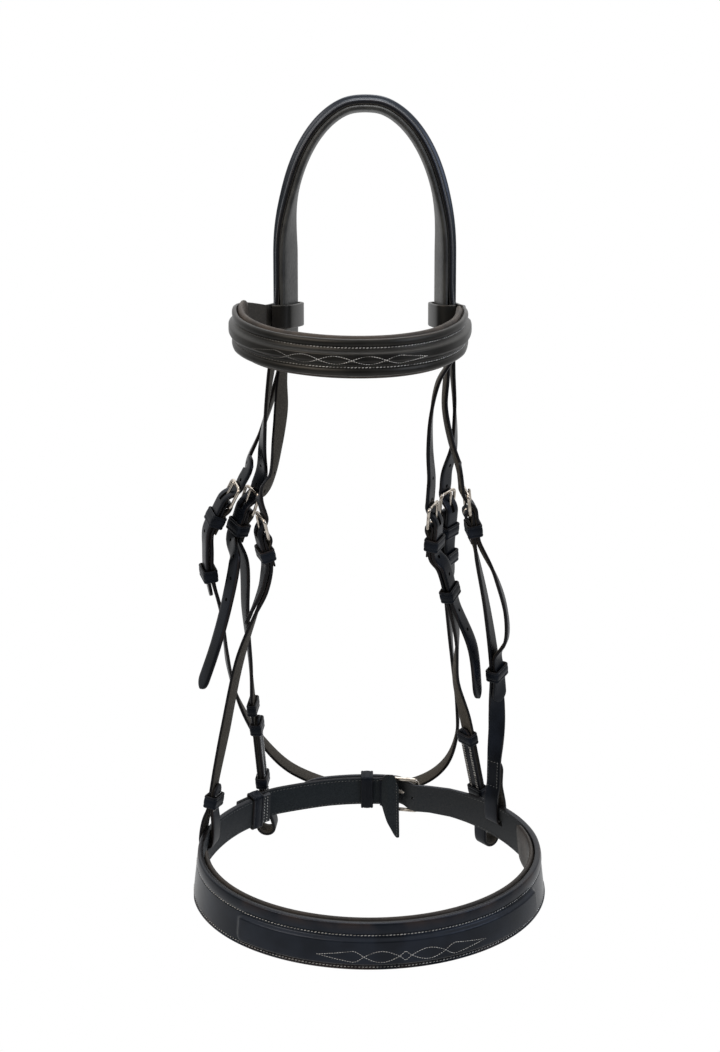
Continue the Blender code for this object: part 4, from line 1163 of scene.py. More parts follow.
@dataclass
class Crown:
    """Padded lining, the noseband's headstrap on it, and the crown strap raised over both."""

    finishes: Finishes
    arch_half: float = 0.0505
    arch_height: float = 0.090
    poll_flat: float = 8
    leg_drop: float = 0.153
    gap: float = 0.0005
    twist_from: float = 0.045
    twist_to: float = 0.098
    off_twist: float = 15
    near_twist: float = 9
    lining_widths: tuple[float, float] = (0.042, 0.035)
    lining_thick: float = 0.0050
    strap_widths: tuple[float, float] = (0.034, 0.0285)
    strap_thick: float = 0.0030
    headstrap_width: float = 0.0140
    headstrap_thick: float = 0.0026
    fineness: int = 6           # sections for each of the part's own
    leg_steps: int = 5
    arch_steps: int = 10
    lift_steps: int = 3
    drape: float = 0.00085      # how far the strap's edges bend down to the rounded lining
    poll_smoothing: int = 14    # passes that take the corners off the poll's flat

    @property
    def stack(self) -> float:
        """Thickness of all the crown's layers."""
        return self.lining_thick + self.strap_thick + self.headstrap_thick + self.gap * 2

    def arch(self, fineness: int) -> list[tuple[Vector, Vector]]:
        """Underside from the off split up the leg and over the arch to the poll's flat.

        Args:
            fineness: Sections for each of the part's own.

        Returns:
            Places with the way they face.
        """
        flat = radians(90 - self.poll_flat)
        rise = self.arch_height / sin(flat)
        legs, turns = self.leg_steps * fineness, self.arch_steps * fineness
        spots = [(Vector((-self.arch_half, 0, -self.leg_drop + (self.leg_drop - self.arch_height) * k / legs)),
                  Vector((-1, 0, 0))) for k in range(legs)]
        for k in range(turns + 1):
            angle = flat * k / turns
            point = Vector((-self.arch_half * cos(angle), 0, -self.arch_height + rise * sin(angle)))
            spots.append((point, Vector((-cos(angle) * rise, 0, sin(angle) * self.arch_half)).normalized()))
        return spots

    def round_poll(self, off_side: list, near_side: list) -> list[tuple[Vector, Vector]]:
        """Fill the poll's flat with sections and take its corners off.

        Args:
            off_side, near_side: Places up to the flat and after it.

        Returns:
            All the places.
        """
        a, b = off_side[-1], near_side[0]
        steps = max(2, ceil((a[0] - b[0]).length / FINE))
        flat = [(a[0].lerp(b[0], k / steps), a[1].lerp(b[1], k / steps).normalized()) for k in range(1, steps)]
        whole = off_side + flat + near_side
        for _ in range(self.poll_smoothing):
            whole = whole[:1] + [((before[0] + after[0]) / 4 + here[0] / 2,
                                  ((before[1] + after[1]) / 4 + here[1] / 2).normalized())
                                 for before, here, after in zip(whole, whole[1:], whole[2:])] + whole[-1:]
        return whole

    def line(self, fineness: int) -> list[tuple[Vector, Vector, float]]:
        """Middle of the stack from the off split over the poll to the near split.

        Args:
            fineness: Sections for each of the part's own.

        Returns:
            For each section its middle, its way out and how far down the leg it is.
        """
        spots = self.arch(fineness)
        mirrored = [(Vector((-p.x, 0, p.z)), Vector((-n.x, 0, n.z))) for p, n in reversed(spots)]
        result = []
        for point, out in self.round_poll(spots, mirrored) if fineness > 1 else spots + mirrored:
            middle = point + out * self.stack / 2
            turn = self.near_twist if middle.x > 0 else -self.off_twist
            turn = radians(turn) * smooth_share((-middle.z - self.twist_from) / (self.twist_to - self.twist_from))
            twisted = Vector((out.x * cos(turn), out.x * sin(turn), out.z)).normalized()
            result.append((middle, twisted, smooth_share(-middle.z / self.arch_height)))
        return result

    def layer(self, low: float, high: float, widths: tuple[float, float], fineness: int) -> list[Station]:
        """Stations of one layer of the stack.

        Args:
            low: Its underside's height in the stack.
            high: Its top's height.
            widths: Width at the poll and on the legs.
            fineness: Sections for each of the part's own.

        Returns:
            The stations from the off split to the near split.
        """
        line = self.line(fineness)
        stations = []
        for i, (middle, out, share) in enumerate(line):
            along = (line[min(i + 1, len(line) - 1)][0] - line[max(i - 1, 0)][0]).normalized()
            out = (out - along * out.dot(along)).normalized()
            width = widths[0] + (widths[1] - widths[0]) * share
            offset = (low + high) / 2 - self.stack / 2
            stations.append(Station(middle + out * offset, out.cross(along), out, width, high - low))
        return stations

    def strap_layer(self, fineness: int) -> list[Station]:
        """Stations of the crown strap."""
        low = self.lining_thick + self.headstrap_thick + self.gap * 2
        return self.layer(low, low + self.strap_thick, self.strap_widths, fineness)

    def headstrap_layer(self, fineness: int) -> list[Station]:
        """Stations of the headstrap's part in the crown."""
        low = self.lining_thick + self.gap
        return self.layer(low, low + self.headstrap_thick, (self.headstrap_width, self.headstrap_width), fineness)

    def hat_outline(self, width: float, thick: float, lowered: float) -> Outline:
        """Strap raised over a narrower one: a rounded middle and lower, flat margins.

        Args:
            width: Its width.
            thick: Its thickness.
            lowered: How much lower the margins lie than the middle.

        Returns:
            The outline.
        """
        half, deep, ease = width / 2, thick / 2, STOCK.edge_round * 0.75
        inner = self.headstrap_width / 2 + STOCK.gap * 2
        outer = inner + thick * 0.5
        low, foot = deep - lowered, deep - lowered + 0.0002     # margin, and where it meets the shoulder
        side = [(inner, -deep, 0.0), (inner + STOCK.gap * 0.5, -deep - lowered * 0.98, 0.0),
                (half - ease, -deep - lowered, 0.0), (half, -lowered, 0.5), (half - ease * 0.3, low - ease * 0.45, 0.8),
                (half - ease, low, 1.0), (half * 0.9, low + 0.0001, 1.0), (outer + ease * 2.2, foot, 1.0)]
        for share in (k / 6 for k in range(7)):     # the shoulder eases from the margin up to the middle
            side.append((outer + ease * (1.6 - 3.6 * share), foot + (deep - foot) * smooth_share(share), 1.0))
        side.append((inner * 0.45, deep + 0.0003, 1.0))
        side = [(a, o - self.drape * max(0.0, (a - outer) / (half - outer)) ** 2, g) for a, o, g in side]
        return side + mirror(side)

    def build(self) -> None:
        """Make the lining; the straps over it are finished with their billets."""
        lining = self.layer(0.0, self.lining_thick, self.lining_widths, self.fineness)
        piece = make_piece("crown_lining", sweep(lining, pad_outline), self.finishes.crown_lining)

    def strap_solid(self) -> Solid:
        """The crown strap without its billets, raised over the headstrap all along but at its ends.

        Returns:
            The strap.
        """
        stations = self.strap_layer(self.fineness)
        rise, run = self.headstrap_thick + STOCK.gap, self.lift_steps * self.fineness
        levels = [rise * smooth_share(min(i, len(stations) - 1 - i) / run) for i in range(len(stations))]
        return sweep(stations, self.hat_outline, levels=levels)


def leg_end(stations: Sequence[Station], side: Side) -> tuple[Station, Vector]:
    """Last station of a crown layer on one side, with the direction down the leg."""
    end, inner = (stations[-1], stations[-2]) if side is Side.NEAR else (stations[0], stations[1])
    return end, (end.point - inner.point).normalized()


@dataclass(frozen=True)
class Plan:
    """Routes of one buckled strap: its billet above, the seat of its buckle, the strap, the billet's free end."""

    billet: Table
    seat: Table
    strap: Table
    tail: Table = ()
    holes: tuple[int, int] = (2, 2)     # punched above and below the hole in use


PLANS = {
    ("cheek", Side.OFF): Plan(
        billet=((-0.66, -0.10, 0.336, 102), (-0.695, -0.10, 0.387, 92), (-0.725, -0.06, 0.438, 70)),
        seat=((-0.85, 0.08, 0.528, 51), (-0.80, 0.04, 0.499, 51)),
        strap=((-0.88, 0.18, 0.60, 55), (-0.88, 0.34, 0.68, 66), (-0.86, 0.56, 0.762, 80)),
        tail=((-0.93, -0.03, 0.589, 52), (-0.99, -0.04, 0.651, 55), (-1.08, -0.04, 0.713, 58),
              (-1.16, -0.03, 0.757, 58)),
        holes=(2, 5)),
    ("cheek", Side.NEAR): Plan(
        billet=((0.622, -0.115, 0.313, -99), (0.515, -0.155, 0.347, -94), (0.465, -0.14, 0.39, -85),
                (0.455, -0.11, 0.438, -75), (0.47, -0.06, 0.48, -68)),
        seat=((0.48, 0.03, 0.547, -64), (0.487, -0.02, 0.519, -64)),
        strap=((0.545, 0.12, 0.605, -62), (0.605, 0.19, 0.645, -64), (0.68, 0.34, 0.712, -78),
               (0.69, 0.58, 0.789, -108)),
        tail=((0.79, 0.24, 0.725, -60), (0.83, 0.27, 0.785, -64)),
        holes=(2, 6)),
    ("throat", Side.OFF): Plan(
        billet=((-0.59, 0.14, 0.325, 105), (-0.66, 0.16, 0.374, 100), (-0.74, 0.12, 0.419, 88),
                (-0.83, 0.05, 0.457, 75)),
        seat=((-0.99, 0.02, 0.517, 69), (-0.915, -0.01, 0.489, 69)),
        strap=((-1.115, 0.095, 0.583, 72), (-1.115, 0.135, 0.615, 72), (-1.06, 0.31, 0.675, 78),
               (-1.045, 0.58, 0.735, 86, -12), (-1.03, 0.85, 0.79, 93, -30), (-0.965, 1.07, 0.849, 103, -46),
               (-0.80, 1.19, 0.910, 122, -58), (-0.55, 1.24, 0.957, 142, -64))),
    ("throat", Side.NEAR): Plan(
        billet=((0.615, 0.10, 0.313, -99), (0.625, 0.15, 0.345, -97), (0.64, 0.17, 0.387, -90),
                (0.635, 0.18, 0.445, -70)),
        seat=((0.59, 0.25, 0.536, -51), (0.60, 0.20, 0.506, -51)),
        strap=((0.59, 0.335, 0.60, -60), (0.62, 0.50, 0.672, -72), (0.66, 0.71, 0.755, -88),
               (0.71, 0.92, 0.83, -92, -12), (0.715, 1.05, 0.896, -100, -40), (0.63, 1.14, 0.941, -120, -56),
               (0.45, 1.20, 0.970, -142, -64)),
        holes=(2, 1)),
    ("hanger", Side.OFF): Plan(
        billet=((-0.59, 0.02, 0.352, 120), (-0.595, 0.01, 0.387, 135), (-0.62, -0.03, 0.43, 122),
                (-0.665, -0.10, 0.479, 95)),
        seat=((-0.71, -0.09, 0.557, 67), (-0.74, -0.15, 0.528, 67)),
        strap=((-0.715, 0.03, 0.635, 80), (-0.80, 0.06, 0.675, 98), (-0.91, 0.10, 0.735, 115),
               (-1.035, 0.19, 0.845, 118)),
        holes=(1, 3)),
    ("hanger", Side.NEAR): Plan(
        billet=((0.575, 0.03, 0.345, -100), (0.565, 0.03, 0.385, -98), (0.605, -0.04, 0.428, -96),
                (0.665, -0.11, 0.465, -96)),
        seat=((0.73, -0.08, 0.525, -100), (0.71, -0.13, 0.494, -100)),
        strap=((0.79, 0.0, 0.581, -90), (0.88, 0.16, 0.66, -76), (0.965, 0.36, 0.765, -55), (0.995, 0.52, 0.852, 12)),
        tail=((0.925, 0.0, 0.612, -94), (1.02, 0.13, 0.668, -86), (1.035, 0.23, 0.715, -74)),
        holes=(3, 4)),
}
THROAT_LOW: Table = ((0.0, 1.27, 0.990, 180, -68),)


@dataclass
class Strap:
    """A strap that hangs from one of the headstall's buckles."""

    side: Side
    seat: Seat
    table: Table
    finishes: Finishes
    title: str = ""
    keeper: str = ""

    def lower_knots(self) -> list[Knot]:
        """Knots past the route's table; each kind of strap has its own."""
        raise NotImplementedError

    def free_seat(self, rough: Route) -> tuple[Seat, float, float, float]:
        """Seat of the running keeper, with its low, its high and its place up the seat."""
        raise NotImplementedError

    def doubled(self, seat: Seat, up: float) -> tuple[Seat, float, float, float]:
        """The same for a keeper round a doubled strap."""
        return seat, -self.outer, self.outer, up

    @property
    def outer(self) -> float:
        """From the middle of a doubled strap to its outside."""
        return STOCK.ply_step / 2 + STOCK.thick / 2

    def build(self) -> Route:
        """Make the strap and its running keeper.

        Returns:
            The route at the part's own spacing, for the billet that lies beside it.
        """
        knots = tip(chape(self.seat) + rows(self.table) + self.lower_knots(), STOCK.tip_length)
        make_piece(f"{self.side.value}_{self.title}", sweep(Route(knots, FINE).stations), self.finishes.strap,
                   [Buckle(self.seat, self.finishes).crew_hole()])
        self.add_keepers()
        rough = Route(knots, COARSE)
        seat, low, high, up = self.free_seat(rough)
        Keeper(seat, low, high, up, slack=STOCK.running_slack).build(f"{self.side.value}_{self.keeper}", self.finishes)
        return rough

    def add_keepers(self) -> None:
        """Make the keepers that don't run; most straps have none here."""


@dataclass
class Cheekpiece(Strap):
    """Cheekpiece from its buckle to the loop for the bit, its end turned up inside and sewn."""

    title: str = "cheekpiece"
    keeper: str = "cheek_running_keeper"
    degrees: float = 0.0        # place round the noseband's ring
    level: float = 0.0          # depth of the loop's bottom
    facing_out: float = 0.0
    stand: float = 0.0          # how far off the noseband
    loop_radius: float = 0.0063
    loop_rise: float = 0.024
    end_length: float = 0.112

    def lower_knots(self) -> list[Knot]:
        """Knots down the sewn end, round the loop and up again inside.

        Returns:
            The knots.
        """
        wall = NOSE.wall(self.degrees)
        flat = Vector((wall.out.x, wall.out.y, 0)).normalized()
        base = Vector((wall.point.x, wall.point.y, 0)) + flat * self.stand - UP * self.level
        self.end = end = Seat(base, place(self.table[-1]) - base, facing(self.facing_out))
        half, radius, rise, reach = STOCK.ply_step / 2, self.loop_radius, self.loop_rise, self.end_length
        down = [(reach * 0.98, half), (reach * 0.5, half), (rise, half), (rise * 0.45, radius * 0.72)]
        knots = [end.knot(up, out) for up, out in down]
        for degrees in TURN_DEGREES:
            up, out = -sin(radians(degrees)), cos(radians(degrees))
            knots.append(end.knot(radius * up, radius * out, face=end.out * out + end.up * up))
        return knots + [end.knot(up, -out, face=-end.out) for up, out in down[:0:-1] + [(reach * 0.83, half)]]

    def add_keepers(self) -> None:
        """Make the two keepers of the sewn end."""
        for title, share in (("lower", 0.38), ("upper", 0.82)):
            Keeper(*self.doubled(self.end, self.end_length * share)).build(
                f"{self.side.value}_bit_keeper_{title}", self.finishes)

    def free_seat(self, rough: Route) -> tuple[Seat, float, float, float]:
        """Near: high up, round the billet too. Off: below the billet's end, round the cheekpiece alone.

        Args:
            rough: The strap's route at the part's own spacing.

        Returns:
            The seat, its low, its high and the keeper's place up it.
        """
        near = self.side is Side.NEAR
        spot = rough.marks[CHAPE_COUNT + (1 if near else len(self.table))]
        high = STOCK.thick / 2 + (STOCK.billet_out - STOCK.main_out if near else 0)
        return seat_on(rough, spot), -STOCK.thick / 2, high, 0.0


@dataclass
class Hanger(Strap):
    """Noseband hanger from its buckle through the slot of the ring and up again on the other side."""

    title: str = "noseband_hanger"
    keeper: str = "hanger_running_keeper"
    slack: float = 0.0013

    def lower_knots(self) -> list[Knot]:
        """Knots down to the slot, through it and up again.

        Returns:
            The knots.
        """
        turn = 1 if self.side is Side.NEAR else -1      # the near hanger runs down inside the band, the off one outside
        slot = NOSE.slot(turn)
        half, reach = STOCK.ply_step / 2, NOSE.thick / 2 + self.slack + STOCK.thick / 2
        rise = NOSE.slot_down + reach
        self.top = top = rise * 2.2
        over = slot.at(0, rise * 1.25, 0)
        self.above = above = Seat(over, place(self.table[-1]) - over, slot.out * -turn)
        pair = [(top * share, half) for share in (0.68, 0.45, 0.18)]
        leg = [(rise * 1.2, reach * 0.78), (rise * 0.8, reach), (reach * 0.8, reach), (reach * 0.25, reach * 0.82)]
        knots = [above.knot(up, out) for up, out in pair]
        knots += [slot.knot(up, -out * turn, face=slot.out * -turn) for up, out in leg]
        knots += [slot.knot(0, reach * out * turn, face=-slot.up) for out in (-0.35, 0.35)]
        knots += [slot.knot(up, out * turn, face=slot.out * turn) for up, out in reversed(leg)]
        return knots + [above.knot(up, -out, face=-above.out) for up, out in reversed(pair[1:])]

    def free_seat(self, rough: Route) -> tuple[Seat, float, float, float]:
        """Near: round the strap and the billet laid on it. Off: round the doubled end.

        Args:
            rough: The strap's route at the part's own spacing.

        Returns:
            The seat, its low, its high and the keeper's place up it.
        """
        if self.side is Side.OFF:
            return self.doubled(self.above, self.top * 0.32)
        return seat_on(rough, rough.marks[CHAPE_COUNT + 2]), -STOCK.thick / 2, STOCK.thick / 2 + STOCK.laid_step, 0.0


@dataclass
class Headstall:
    """Crown strap and headstrap with their billets, the cheekpieces, the hangers and the throatlatch."""

    crown: Crown
    finishes: Finishes
    # for each side the place of the bit loop round the ring, its depth, its facing and how far it stands off
    bit_ends: dict[Side, tuple[float, ...]] = field(default_factory=lambda: {
        Side.OFF: (-146.5, 0.545, 98, 0.022), Side.NEAR: (140.5, 0.553, -128, 0.024)})

    def build_buckles(self) -> None:
        """Seats of the six strap buckles, with their frames, tongues and fixed keepers."""
        self.seats: dict[tuple[str, Side], Seat] = {}
        for (part, side), plan in PLANS.items():
            self.seats[part, side] = seat = seat_from(plan.seat)
            name = f"{side.value}_{part}"
            Buckle(seat, self.finishes).build(f"{name}_buckle", f"{name}_tongue")
            fixed = Keeper(seat, STOCK.fold_out - STOCK.fold / 2, STOCK.billet_out + STOCK.thick / 2)
            fixed.up = -STOCK.fold_length * 0.36 - fixed.length / 2
            fixed.build(f"{name}_fixed_keeper", self.finishes)

    def build_straps(self) -> None:
        """Cheekpieces, hangers and throatlatch."""
        self.cheeks = [Cheekpiece(side, self.seats["cheek", side], PLANS["cheek", side].strap, self.finishes,
                                  "cheekpiece", "cheek_running_keeper", *self.bit_ends[side]) for side in Side]
        self.hangers = [Hanger(side, self.seats["hanger", side], PLANS["hanger", side].strap, self.finishes)
                        for side in Side]
        self.runs: dict[tuple[str, Side], Route] = {}
        for part, straps in (("cheek", self.cheeks), ("hanger", self.hangers)):
            for strap in straps:
                self.runs[part, strap.side] = strap.build()
        throat = self.build_throatlatch()
        self.runs["throat", Side.OFF] = self.runs["throat", Side.NEAR] = throat

    def build_throatlatch(self) -> Route:
        """Make the long strap from buckle to buckle behind the noseband, and its running keepers.

        Returns:
            The route at the part's own spacing.
        """
        off_side, near_side = (chape(self.seats["throat", side]) + rows(PLANS["throat", side].strap, NOSE.half_depth)
                               for side in Side)
        knots = off_side + rows(THROAT_LOW, NOSE.half_depth) + near_side[::-1]
        make_piece("throatlatch", sweep(Route(knots, FINE).stations), self.finishes.strap,
                   [Buckle(self.seats["throat", side], self.finishes).crew_hole() for side in Side])
        rough = Route(knots, COARSE)
        for side, spot in ((Side.OFF, rough.marks[CHAPE_COUNT + 1]), (Side.NEAR, rough.marks[-1 - CHAPE_COUNT])):
            Keeper(seat_on(rough, spot), -STOCK.thick / 2, STOCK.thick / 2 + STOCK.laid_step,
                   slack=STOCK.running_slack).build(f"{side.value}_throat_running_keeper", self.finishes)
        return rough

    def tail(self, part: str, side: Side) -> list[Knot]:
        """Where a billet runs on after its buckle: on its own strap, away from it, or one after the other.

        Args:
            part: Which strap the billet holds.
            side: The horse's side.

        Returns:
            The knots.
        """
        run, turn, free = self.runs[part, side], CHAPE_COUNT - 1, rows(PLANS[part, side].tail)
        marks = run.marks
        if (part, side) == ("throat", Side.NEAR):
            return beside(run, marks[-1 - turn] - 1, marks[-2 - turn] - 1)
        if (part, side) == ("hanger", Side.NEAR):
            return free + beside(run, marks[turn + 3] - 1, marks[turn + 3] + 1)
        if (part, side) == ("cheek", Side.OFF):
            return free
        return beside(run, marks[turn] + 1, marks[turn + 2] + (0 if part == "hanger" else 1)) + free

    def build_crown_strap(self) -> None:
        """Make the crown strap with its four billets, their tongue slots and punched holes."""
        ends = self.crown.strap_layer(1)
        billets, cuts = [], []
        for (part, side), plan in PLANS.items():
            if part == "hanger":
                continue
            end, down = leg_end(ends, side)
            front = end.across if end.across.y < 0 else -end.across
            aside = (0.5 if part == "cheek" else -0.5) * (end.width - STOCK.width - STOCK.gap * 2)
            root = Knot(end.point + front * aside, end.out)
            start = [replace(root, point=root.point - down * STOCK.width),
                     replace(root, point=root.point + down * STOCK.thick)] + rows(plan.billet)
            knots = start + through_buckle(self.seats[part, side]) + self.tail(part, side)
            route = Route(tip(knots, STOCK.tip_length), FINE)
            billets.append(sweep(route.stations))
            cuts.append(Buckle(self.seats[part, side], self.finishes).tongue_slot())
            cuts += punch_row(route, route.marks[len(start) + IN_USE], plan.holes)
        item = self.crown.strap_solid().to_object("crown_strap_piece")
        combine(item, billets, Cut.JOIN)
        combine(item, cuts, Cut.REMOVE)
        dress(item, "crown_strap", self.finishes.crown)

    def build_headstrap(self) -> None:
        """Make the headstrap from one hanger billet's tip over the poll to the other's."""
        layer = self.crown.headstrap_layer(1)
        arch = [Knot(s.point, s.out, s.width, s.thick) for s in layer]
        halves, used = [], []
        for side, knot in zip(Side, (arch[0], arch[-1])):
            start = rows(PLANS["hanger", side].billet)
            knots = start + through_buckle(self.seats["hanger", side]) + self.tail("hanger", side)
            down = leg_end(layer, side)[1]
            halves.append([replace(knot, point=knot.point + down * STOCK.width)] + tip(knots, STOCK.tip_length))
            used.append(len(start) + IN_USE + 1)
        off_side, near_side = halves
        route = Route(off_side[::-1] + arch + near_side, FINE)
        cuts = [Buckle(self.seats["hanger", side], self.finishes).tongue_slot() for side in Side]
        places = (len(off_side) - 1 - used[0], len(off_side) + len(arch) + used[1])
        for side, spot in zip(Side, places):
            cuts += punch_row(route, route.marks[spot], PLANS["hanger", side].holes)
        make_piece("noseband_headstrap", sweep(route.stations), self.finishes.strap, cuts)

    def build(self) -> None:
        """Make every piece in order."""
        self.build_buckles()
        self.build_straps()
        self.build_crown_strap()
        self.build_headstrap()


# raised bands


@dataclass(frozen=True)
class Level:
    """State of a raised face at one cross-section."""

    margin: float = 1.0         # share of the rolls' height and of the grooves' depth
    inside: float = 1.0         # how far the section is inside the end of the panel


FLAT = Level(0.0, -1.0)     # a billet, with neither rolls nor panel


@dataclass(frozen=True)
class RaisedFace:
    """Cross-section of a band with a padded, raised panel between two sewn grooves."""

    centre: float               # middle of the panel, up from the band's middle
    half: float                 # half height of the panel at its foot
    raised: float
    shoulder: float             # how much of the half height the rounded shoulder takes
    rows_at: tuple[float, float]
    margin_roll: float = 0.0006
    groove: float = 0.0004
    groove_half: float = 0.0009
    crown: float = 0.0003       # how much fuller the panel is in its middle
    corner: float = 0.0055      # radius of the panel's corners
    count: int = 45             # points on the grain side

    def height(self, across: float, half_width: float, level: Level) -> float:
        """Height of the grain side over the flat band.

        Args:
            across: Place across the band.
            half_width: Half of the band's width there.
            level: State of the face at the section.

        Returns:
            The height.
        """
        away = abs(across - self.centre)
        side, end = self.corner - (self.half - away), self.corner - level.inside
        deep = self.corner - (sqrt(side * side + end * end) if side > 0 and end > 0 else max(side, end))
        value = (self.raised + self.crown * max(0.0, 1 - (away / self.half) ** 2)) * smooth_share(deep / self.shoulder)
        sewn = -sum(self.groove * max(0.0, 1 - ((across - row) / self.groove_half) ** 2) for row in self.rows_at)
        low, high = min(self.rows_at), max(self.rows_at)
        if across > high or across < low:
            edge, inner = (half_width, high) if across > high else (-half_width, low)
            sewn += self.margin_roll * sin(pi * min(max((across - inner) / (edge - inner), 0.0), 1.0))
        return value + sewn * level.margin

    def outline(self, width: float, thick: float, level: Level) -> Outline:
        """Outline of the band, with points close together at the grooves and the shoulders.

        Args:
            width: Its width.
            thick: Its thickness.
            level: State of the face at the section.

        Returns:
            The outline.
        """
        half, deep = width / 2, thick / 2
        ease = min(STOCK.edge_round, deep * 0.6)
        places = {(-1 + 2 * k / 26) * (half - ease) for k in range(27)}
        places |= {row + self.groove_half * s for row in self.rows_at for s in (-1, -0.5, 0, 0.5, 1)}
        places |= {self.centre + sign * (self.half - self.shoulder * s) for sign in (1, -1) for s in (0, 0.3, 0.6, 1)}
        inside = sorted((p for p in places if abs(p) <= half - ease + 1e-9), reverse=True)
        inside = inside[:1] + [p for a, p in zip(inside, inside[1:]) if a - p > 1e-6]
        while len(inside) < self.count:
            inside.insert(1, (inside[0] + inside[1]) / 2)
        top = [(a, deep + self.height(a, half, level), 1.0) for a in inside[:self.count - 1] + inside[-1:]]
        right = [(half - ease * 0.3, -deep + ease * 0.4, 0.2), (half, 0.0, 0.5),
                 (half - ease * 0.3, deep - ease * 0.45, 0.8)]
        under = [(-half + ease, -deep, 0.0), (0.0, -deep, 0.0), (half - ease, -deep, 0.0)]
        return right + top + mirror(right) + under


def filled(share: float) -> float:
    """How full padding is at a share of the stretch in which it fills out."""
    return 0.45 + 0.55 * sqrt(smooth_share(share))


@dataclass(frozen=True)
class NoseRing:
    """The tilted ring that the noseband follows."""

    drop: float = 0.529
    centre_share: float = 0.03
    half_width: float = 0.1235
    half_depth: float = 0.0960
    tilt: float = 13.5
    turn: float = 11.2          # degrees the leather is shifted round towards the near side
    flare: float = 7
    width: float = 0.0360
    rear_width: float = 0.0262
    thick: float = 0.0040
    slot_angle: float = 117.5
    slot_down: float = 0.0145
    panel_turn: float = 58.2    # where the raised panel ends, from its middle
    per_degree: float = 0.0019  # length of a degree of the ring
    narrow_from: float = 88     # degrees from its middle where the band starts to narrow
    narrow_over: float = 58     # degrees in which it narrows
    rolls_to: float = 90        # degrees from its middle to which the rolls keep their height
    rolls_fade: float = 8       # degrees in which they run out

    def station(self, degrees: float, width: float, thick: float, down: Optional[float] = None,
                out_by: float = 0.0) -> Station:
        """Cross-section of something that follows the ring.

        Args:
            degrees: Place from the front, positive to the near side.
            width: Its width.
            thick: Its thickness.
            down: Depth of its middle under the ring's top edge, or half of its width.
            out_by: How far out from the band's middle it lies.

        Returns:
            The station, with across up the band.
        """
        tilt, angle, flare = radians(self.tilt), radians(degrees), radians(self.flare)
        centre = Vector((self.centre_share * STOCK.spread, 0, -self.drop))
        side, back = Vector((1, 0, 0)), Vector((0, cos(tilt), sin(tilt)))
        up = Vector((0, -sin(tilt), cos(tilt)))
        radial = (side * sin(angle) * self.half_depth - back * cos(angle) * self.half_width).normalized()
        rise = up * cos(flare) - radial * sin(flare)
        out = radial * cos(flare) + up * sin(flare)
        depth = width / 2 if down is None else down
        point = centre + side * self.half_width * sin(angle) - back * self.half_depth * cos(angle)
        return Station(point - rise * depth + out * out_by, rise, out, width, thick)

    def height(self, degrees: float) -> float:
        """Height of the band: full at the front, narrow towards the jaw buckle."""
        share = smooth_share((abs(degrees - self.turn) - self.narrow_from) / self.narrow_over)
        return self.width + (self.rear_width - self.width) * share

    def wall(self, degrees: float, down: Optional[float] = None) -> Station:
        """Cross-section of the band itself."""
        return self.station(degrees, self.height(degrees), self.thick, down=down)

    def slot(self, sign: int) -> Seat:
        """Seat in the slot for a hanger, on the near side (1) or the off side (-1)."""
        wall = self.wall(self.turn + self.slot_angle * sign, self.slot_down)
        return Seat(wall.point, wall.across, wall.out)

    def level(self, degrees: float) -> Level:
        """State of the raised face at a place: the panel ends before the rolls do.

        Args:
            degrees: The place.

        Returns:
            The state.
        """
        away = abs(degrees - self.turn)
        rolls = 1 - smooth_share((away - self.rolls_to) / self.rolls_fade)
        return Level(rolls, (self.panel_turn - away) * self.per_degree)

    def seat(self, degrees: float) -> Seat:
        """Seat on the narrow part of the ring, up towards the near side."""
        here, ahead = (self.station(d, self.rear_width, self.thick) for d in (degrees, degrees - 1))
        return Seat(here.point, ahead.point - here.point, here.out)


NOSE = NoseRing()


